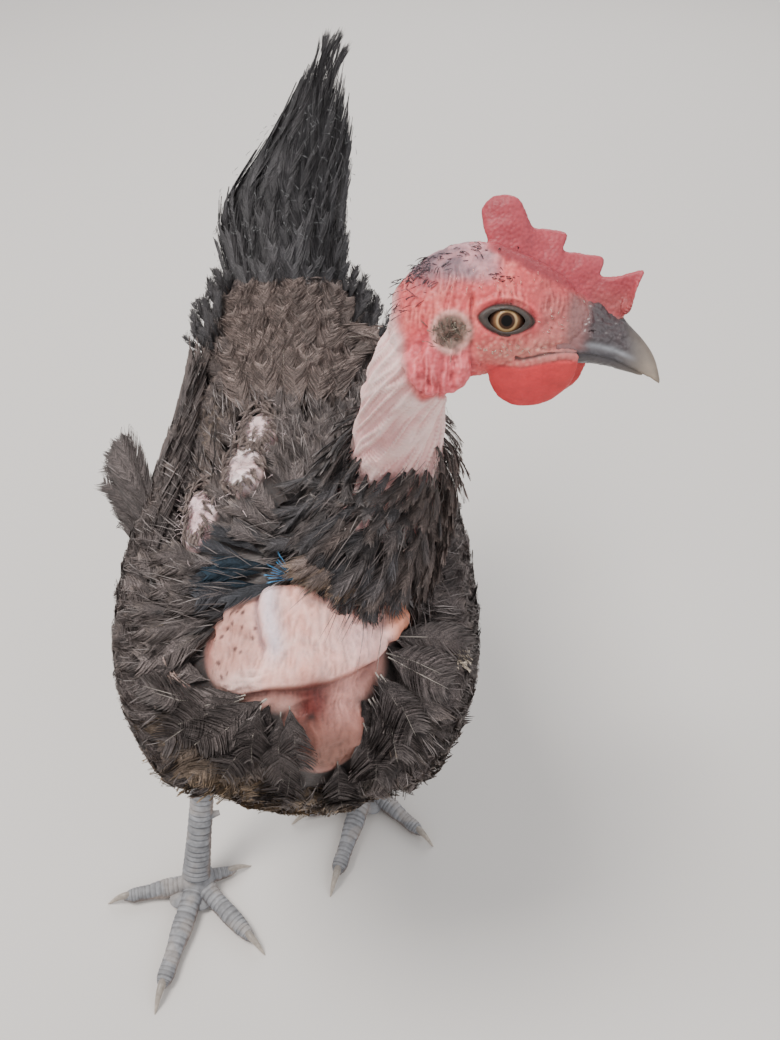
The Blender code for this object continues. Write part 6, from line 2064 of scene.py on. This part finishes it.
def make_tail_coat():
    rng = random.Random(SEEDS["tail"])
    coat = Coat()
    tiers = (
        ("tail", 11, 0.0058, (-0.004, 0.0), 0.0, BLACK),
        ("tail", 10, 0.0062, (-0.003, 0.0014), 0.84, BLACK),
        ("tail", 10, 0.0062, (-0.002, 0.0026), 0.62, BLACK),
        ("tail", 10, 0.0064, (-0.002, 0.0034), 0.46, BLACK),
        ("loose", 11, 0.0064, (-0.002, 0.0042), 0.31, BLACK),
        ("loose", 12, 0.006, (-0.002, 0.0048), 0.18, BLACK * 1.2),
    )
    for kind, count, half, (start, end), reach, colour in tiers:
        roots, tips, lifts, tilts = [], [], [], []
        for side in (-1, 1):
            for i in range(count):
                fold = (i + 0.5) / count * 0.97
                edge = 1.0 - 0.56 * fold ** 1.25
                far = min(edge, (reach or 0.96) * (0.75 + 0.25 * edge))
                far += rng.uniform(-0.05, 0.03) if reach else rng.uniform(-0.02, 0.016)
                layer = 0.0042 * (1 - fold) + 0.0004 * side
                roots.append((-0.05, side * fold * 0.92))
                tips.append((far, side * (fold + rng.uniform(-0.02, 0.02))))
                lifts.append((layer + start, layer + end + rng.uniform(0, 0.0008)))
                tilts.append(side * math.radians(8.0 + rng.uniform(-3, 3)))
        paths, normals = surface_paths(tail_wide, roots, tips, lifts, tilts)
        total = len(paths)
        shade = np.array([[1 + rng.uniform(-0.25, 0.3)] for _ in range(total)])
        places = np.array([(0.1 + 0.8 * abs(b), 0.5 + math.copysign(0.4, b)) for _, b in roots])
        coat.add(kind, paths, normals, half, colour * shade, BLACK * 1.8, BLACK * 1.6, places, 0.1,
                 rng, amount=0.25, reach=0.7, root_dark=0.95)
    for _ in range(26):
        fold = rng.uniform(-0.22, 0.22)
        root, normal = tail_wide(rng.uniform(0.7, 0.9), fold, 0.002)
        tip = tail_place(1.0, fold, 0.0)[0] + np.array(
            [rng.choice((-1, 1)) * rng.uniform(0.001, 0.007), 0.002, rng.uniform(-0.004, 0.006)])
        bend = np.array([rng.uniform(-1, 1), 0.0, 0.3]) * 0.002
        coat.one("hackle", arc(root, tip, bend), normal, 0.0012, BLACK, GREY * 0.15,
                 GREY * 0.2, np.array([0.95, 0.5 + 0.4 * fold]), 0.1, rng)
    for _ in range(260):
        share, fold = rng.uniform(0.05, 0.72), rng.uniform(-0.85, 0.85)
        if abs(fold) > 0.9 - 0.5 * share:
            continue
        root, normal = tail_wide(share, fold, 0.0052 + 0.004 * (1 - abs(fold)))
        way = unit(gauss_point(rng))
        way = unit(way - np.dot(way, normal) * normal + 0.4 * (TAIL_TIP - TAIL_ROOT))
        path = arc(root, root + way * 0.0045, normal * 0.0006)
        coat.one("bristle", path, normal, 0.0004, np.full(3, 0.1), np.full(3, 0.21),
                 np.full(3, 0.17), np.array([share * 0.9, 0.5 + 0.4 * fold]), 0.0, rng)
    coat.build("coat_tail", "tail", "tail_feathers", "tail")


RUFF_TOP = 0.49
COLLAR_FRINGE = (
    {"kind": "hackle", "count": 20, "half": 0.0042, "base": BROWN, "fringe": TAN * 1.1, "shaft": TAN,
     "roots": ((0.03, -0.104, 0.272), (0.04, -0.104, 0.27)),
     "tips": ((0.005, -0.117, 0.266), (0.023, -0.1235, 0.26))},
    {"kind": "covert", "count": 18, "half": 0.0072, "base": BLACK * 1.6, "fringe": GREY * 0.9,
     "shaft": GREY * 0.8,
     "roots": ((0.024, -0.1, 0.276), (0.05, -0.098, 0.268)),
     "tips": ((0.023, -0.12, 0.263), (0.047, -0.119, 0.256))},
    {"kind": "loose", "count": 22, "half": 0.007, "base": BROWN * 0.7, "fringe": BROWN * 2.2, "shaft": BROWN,
     "roots": ((0.044, -0.084, 0.29), (0.054, -0.092, 0.272)),
     "tips": ((0.05, -0.106, 0.268), (0.06, -0.1, 0.256))},
)


def add_collar_fringe(coat, rng):
    """The long feathers at the collar's lower edge: golden barbs, rounded dark tips, and a brown bulge."""
    for row in COLLAR_FRINGE:
        for k in range(row["count"]):
            share = (k + rng.uniform(-0.4, 0.4)) / row["count"]
            root, tip = (np.array(low) + (np.array(high) - np.array(low)) * share + gauss_point(rng, 0.0018)
                         for low, high in (row["roots"], row["tips"]))
            path, faces = lie_on(COAT_TREE, TORSO_CENTRE, root, tip, (0.004, 0.0065, 0.0046))
            tone = 1 + rng.uniform(-0.25, 0.3)
            coat.one(row["kind"], path, faces, row["half"], row["base"] * tone,
                     row["fringe"] * tone, row["shaft"] * tone, np.array([0.1 + 0.8 * share, 0.1]), 0.16, rng,
                     amount=0.6, root_dark=0.6)


def make_ruff():
    rng = random.Random(SEEDS["ruff"])
    coat = Coat()
    growth = (0.01, 0.004, 0.0004)

    def place(t, turn):
        share = t
        t = COLLAR_FOOT + (RUFF_TOP - COLLAR_FOOT) * t
        radius = neck_thick(t) + float(np.interp(share, (0, 0.6, 1), growth))
        return ring_about(
            neck_where(t), heading_at(neck_where, t, 0.02), FORWARD, radius, radius, 1, TAU * turn)[0]

    surface, spots = grid(place, 26, 49, first=(0.0, 1.08))
    tree = tree_of(surface, TRUNK, *WINGS)
    points, places = scatter(surface, spots, RUFF_GAP, rng, 30000)
    high = places[:, 0]
    ragged_top = 0.92 + 0.16 * bumpy(points, 120.0, 1.0) + 0.1 * (points[:, 0] > 0.048)
    keep = (high > 0.1) & (high < ragged_top)
    points, places, high = points[keep], places[keep], high[keep]
    count = len(points)
    jitter = gauss_rows(rng, count, 5)
    axis = unit(neck_where(0.05) - neck_where(0.35))
    centres = np.array([neck_where(COLLAR_FOOT + (RUFF_TOP - COLLAR_FOOT) * t) for t in high])
    outward = units(points - centres)
    left, right = clamp(outward[:, 0]), clamp(-outward[:, 0])
    front = clamp(-outward[:, 1])
    directions = axis + outward * 0.45 + np.outer(right, [-0.5, 0.0, 0.0])
    lengths = (0.04 - 0.022 * high ** 1.5) * (1 - 0.25 * left) * (1 - 0.18 * front)
    lengths *= 1 + 0.18 * jitter[:, 0]
    halves = (0.0062 - 0.0036 * high) * (1 + 0.14 * jitter[:, 1])
    fluff = np.abs(jitter[:, 2])
    lifts = np.stack([
        np.full(count, -0.003), 0.0008 + 0.003 * high * (1 - 0.6 * high),
        0.0006 + 0.003 * high + 0.0012 * fluff], 1)
    paths, normals = drape(tree, centres, points, directions, lengths, lifts, rng, 0.3, 0.6)
    base = varied(BLACK * 1.3, jitter[:, 0], 0.3)
    base = mixed(base, BROWN * 0.7, np.clip(left * 1.1 + 0.3 * jitter[:, 3], 0, 0.85))
    grey_top = ramp(0.45, 0.9, high) * ramp(0.5, -0.2, outward[:, 0])
    fringe = varied(GREY * 0.4, jitter[:, 4], 0.5, -1.5, 2.2)
    fringe = mixed(fringe, GREY * 1.5, grey_top * 0.75)
    fringe = mixed(fringe, BROWN * 2.2, np.clip(left * 0.9, 0, 0.8))
    bottom = front * ramp(0.45, 0.15, high)
    fringe = mixed(fringe, TAN * 0.9, bottom * (np.abs(jitter[:, 1]) > 0.5) * 0.7)
    shaft = mixed(base * 1.3, GREY * 0.8, grey_top * 0.7)
    add_collar_fringe(coat, rng)
    over_crop = np.array([max(bare_share(spot) for spot in path[2:]) > 0.5 for path in paths])
    low_tip = (paths[:, 4, 0] < 0.006) | (paths[:, 4, 2] < 0.251)
    keep = ~(over_crop & low_tip)
    coat.add("hackle", paths[keep], normals[keep], halves[keep], base[keep], fringe[keep], shaft[keep],
             places[keep], 0.18, rng, amount=0.75)
    add_hairs(coat, tree, centres, points, directions, 1500, rng, 0.013, 1.0, 0.0022)
    coat.build("coat_ruff", "feather", "body_feathers", "neck_collar")


PIN_PALE = (0.5, 0.4, 0.34)
PIN_DARK = (0.034, 0.026, 0.03)
BACKWARD = -FORWARD
# Bristles of the head: side, middle in the head's own axes, spread, how many, length, direction, half
# width, base colour, fringe colour, disorder, rise, and place in the coat's map
HEAD_BRISTLES = (
    (1, (-0.0245, 0.0135, 0.008), (0.004, 0.004, 0.004), 110, 0.0042, BACKWARD - 0.3 * DORSAL, 0.0004,
     (0.06, 0.045, 0.05), (0.22, 0.17, 0.19), 0.6, 0.0006, (0.15, 0.15)),
    (1, (-0.027, 0.004, 0.009), (0.0025, 0.004, 0.003), 22, 0.0055, BACKWARD - 0.3 * DORSAL, 0.0004,
     PIN_DARK, (0.16, 0.13, 0.14), 0.3, 0.0022, (0.15, 0.25)),
    (1, (-0.01, 0.0155, 0.006), (0.004, 0.002, 0.002), 26, 0.003, BACKWARD, 0.0005,
     PIN_DARK, (0.12, 0.09, 0.09), 0.5, 0.001, (0.15, 0.35)),
    (1, (-0.003, 0.012, 0.012), (0.0012, 0.0008, 0.0008), 9, 0.0024, BACKWARD, 0.0004,
     PIN_DARK, (0.06, 0.04, 0.04), 0.4, 0.0008, (0.2, 0.4)),
    (1, (0.001, 0.0115, 0.012), (0.0012, 0.0008, 0.0008), 9, 0.0024, BACKWARD, 0.0004,
     PIN_DARK, (0.06, 0.04, 0.04), 0.4, 0.0008, (0.2, 0.4)),
    *(row for side in (1, -1) for row in (
        (side, (EAR_SPOT[0], EAR_SPOT[1] - 0.001, 0.013), (0.0022, 0.0022, 0.001), 90, 0.0042,
         BACKWARD * 0.5 + DORSAL * 0.6, 0.0004, (0.16, 0.13, 0.1), (0.38, 0.31, 0.25), 0.6, 0.0007,
         (0.3, 0.5)),
        (side, (0.002, -0.0088, 0.0125), (0.005, 0.0016, 0.001), 46, 0.0013,
         BACKWARD + 0.3 * DORSAL, 0.00016, PIN_PALE, (0.8, 0.66, 0.48), 0.5, 0.0006, (0.4, 0.5)),
        (side, (0.014, 0.001, 0.01), (0.003, 0.005, 0.001), 26, 0.002,
         BACKWARD + 0.5 * DORSAL, 0.0002, PIN_PALE, (0.74, 0.5, 0.42), 0.5, 0.0005, (0.4, 0.6)))),
    (1, (-0.005, 0.0085, 0.013), (0.007, 0.002, 0.001), 44, 0.0022, DORSAL + 0.3 * BACKWARD, 0.00025,
     (0.74, 0.3, 0.26), (0.86, 0.52, 0.44), 0.3, 0.0006, (0.4, 0.7)),
)
# Quills and down on the trunk, with the same columns in the bird's own axes, but no side
BODY_BRISTLES = (
    ((-0.032, -0.06, 0.265), (0.004, 0.008, 0.002), 9, 0.024, (0.05, 1.0, 0.1), 0.0009,
     (0.02, 0.015, 0.014), (0.03, 0.024, 0.02), 0.12, 0.006, (0.7, 0.3)),
    ((-0.0386, -0.1395, 0.2292), (0.004, 0.004, 0.004), 30, 0.007, (-0.8, 0.3, -0.3), 0.0009,
     (0.3, 0.2, 0.17), (0.56, 0.46, 0.4), 0.5, 0.002, (0.7, 0.4)),
    ((0.069, -0.127, 0.233), (0.002, 0.002, 0.002), 16, 0.006, (0.3, 0.3, -0.7), 0.0009,
     (0.44, 0.36, 0.28), (0.7, 0.6, 0.48), 0.4, 0.002, (0.7, 0.6)),
)
COLLAR_DOWN = ((0.015, -0.094, 0.282), (0.006, 0.004, 0.005), 110, 0.0065, (-0.6, 0.2, -0.5), 0.0006,
               (0.16, 0.14, 0.13), (0.46, 0.41, 0.38), 0.6, 0.0035, (0.8, 0.5))


def make_tufts():
    """Pin feathers, quills, down beside the bare patches, blue barbs, and the bristles of the head."""
    rng = random.Random(SEEDS["tufts"])
    coat = Coat()

    def strew(tree, inside, middle, spread, many, length, way, half, base, fringe, wild, lift, place,
              kind="bristle"):
        for _ in range(many):
            start = np.array(middle) + np.array([rng.gauss(0, 1) * s for s in spread])
            spot, face = nearest(tree, start)
            face = facing(face, spot - inside)
            heading = np.array(way, float) + np.array([rng.gauss(0, wild) for _ in range(3)])
            heading = unit(heading - np.dot(heading, face) * face)
            size = length * rng.uniform(0.7, 1.25)
            rise = lift * rng.uniform(0.4, 1.6)
            root = spot - face * 0.001
            path = arc(root, root + heading * size + face * rise, face * 0.001)
            tone = rng.uniform(0.7, 1.3)
            coat.one(kind, path, face, half, np.array(base) * tone, np.array(fringe) * tone,
                     np.array(fringe) * tone, np.array(place), 0.05, rng)

    skin = bpy.data.objects["skin"]
    faces = [tuple(polygon.vertices) for polygon in skin.data.polygons]
    on_skin = BVHTree.FromPolygons((coordinates(skin.data) + CENTRE).tolist(), faces)
    for side, (f, d, r), *row in HEAD_BRISTLES:
        strew(on_skin, on_head(-0.004, -0.002, 0.0), on_head(f, d, side * r), *row)
    for middle, half in BARE_PATCHES[2:5]:
        strew(COAT_TREE, TORSO_CENTRE, middle, [h * 0.62 for h in half], 90, 0.005, (-0.2, 0.5, 0.0), 0.00012,
              (0.7, 0.54, 0.53), (0.84, 0.74, 0.72), 0.9, 0.0006, (0.6, 0.3), "hair")
        for turn in range(40):
            angle = TAU * turn / 40 + rng.uniform(-0.1, 0.1)
            rim = np.array([math.cos(angle) * half[0], math.sin(angle) * half[1], 0.0]) * 1.08
            strew(COAT_TREE, TORSO_CENTRE, np.array(middle) + rim, (0.001, 0.001, 0.0), 2, 0.0065,
                  (-math.cos(angle), 1.2 - math.sin(angle), 0.0), 0.0012, BROWN * 1.2, GREY * 1.6,
                  0.5, 0.001, (0.6, 0.3), "hackle")
    for row in BODY_BRISTLES:
        strew(COAT_TREE, TORSO_CENTRE, *row)
    strew(on_skin, neck_where(0.3), *COLLAR_DOWN)
    # Blue barbs by the foot of the neck, coloured to paint the iridescent sheen of the feathers there
    for k in range(9):
        root = np.array([0.0075, -0.118, 0.269])
        turn = math.radians(-12 + 9 * k + rng.uniform(-3, 3))
        tip = root + np.array([-math.cos(turn), math.sin(turn), 0.0]) * rng.uniform(0.01, 0.0135)
        path, faces = lie_on(COAT_TREE, TORSO_CENTRE, root, tip, (0.001, 0.0034, 0.003))
        coat.one("bristle", path, faces, 0.0005, (0.02, 0.12, 0.26), (0.16, 0.4, 0.6),
                 (0.12, 0.34, 0.56), np.array([0.85, 0.5]), 0.05, rng)
    coat.build("coat_tufts", "feather", "body_feathers")


# The stage

# Each lamp's place, size, power and colour, and the spot that all of them face
LAMPS = {
    "key": ((-0.8, -0.2, 2.0), 0.8, 44.0, (1.0, 0.98, 0.95)),
    "fill": ((1.2, -0.9, 1.3), 1.4, 10.0, (0.95, 0.97, 1.0)),
    "back": ((0.3, 1.5, 1.2), 1.2, 12.0, (1.0, 1.0, 1.0)),
}
LAMP_AIM = Vector((0.0, -0.04, 0.2))
FLOOR_REACH = 3
# The photo's camera: how far it looks from straight down, its sensor in millimetres, and its focal
# length and the photo's height in pixels
CAMERA_PLACE = (0.0391, -0.358, 0.527)
CAMERA_TILT = math.radians(46.0)
SENSOR_WIDTH = 36.0
FOCAL_PIXELS = 960.0
PHOTO_HEIGHT = 1040.0


def make_stage():
    floor = new_object(
        "floor", FLOOR_REACH * np.array([(-1, -1, 0), (1, -1, 0), (1, 1, 0), (-1, 1, 0)], float),
        np.array([(0, 1, 2, 3)]))
    pale = bpy.data.materials.new("floor_finish")
    pale.use_nodes = True
    shader = pale.node_tree.nodes["Principled BSDF"]
    shader.inputs["Base Color"].default_value = (0.66, 0.62, 0.585, 1.0)
    shader.inputs["Roughness"].default_value = 0.9
    floor.data.materials.append(pale)

    world = bpy.data.worlds.new("studio")
    bpy.context.scene.world = world
    world.use_nodes = True
    world.node_tree.nodes["Background"].inputs["Color"].default_value = (0.95, 0.97, 1.0, 1.0)
    world.node_tree.nodes["Background"].inputs["Strength"].default_value = 0.8

    for name, (place, size, power, colour) in LAMPS.items():
        light = bpy.data.lights.new(name, "AREA")
        light.size = size
        light.energy = power
        light.color = colour
        lamp = bpy.data.objects.new(name, light)
        lamp.location = place
        lamp.rotation_euler = (LAMP_AIM - Vector(place)).to_track_quat("-Z", "Y").to_euler()
        bpy.context.scene.collection.objects.link(lamp)


def make_camera():
    """The photo's own view: from above and in front, looking down by 44 degrees."""
    lens_data = bpy.data.cameras.new("camera")
    lens_data.sensor_width = SENSOR_WIDTH
    lens_data.lens = SENSOR_WIDTH * FOCAL_PIXELS / PHOTO_HEIGHT
    lens_data.clip_start = 0.01
    camera = bpy.data.objects.new("camera", lens_data)
    camera.location = CAMERA_PLACE
    camera.rotation_euler = (CAMERA_TILT, 0.0, 0.0)
    bpy.context.scene.collection.objects.link(camera)
    bpy.context.scene.camera = camera


def main():
    make_camera()
    make_stage()
    skin = detail_skin(make_skin())
    finish(skin, "skin", "bare_skin", "torso", "neck", "head", "comb", "wattle_left",
           "wattle_right", "thigh_left", "thigh_right")
    make_bill()
    make_eyes()
    make_legs()
    make_trunk_coat()
    make_thigh_coat()
    make_wing_coat(1, "left")
    make_wing_coat(-1, "right")
    make_tail_coat()
    make_ruff()
    make_tufts()


main()
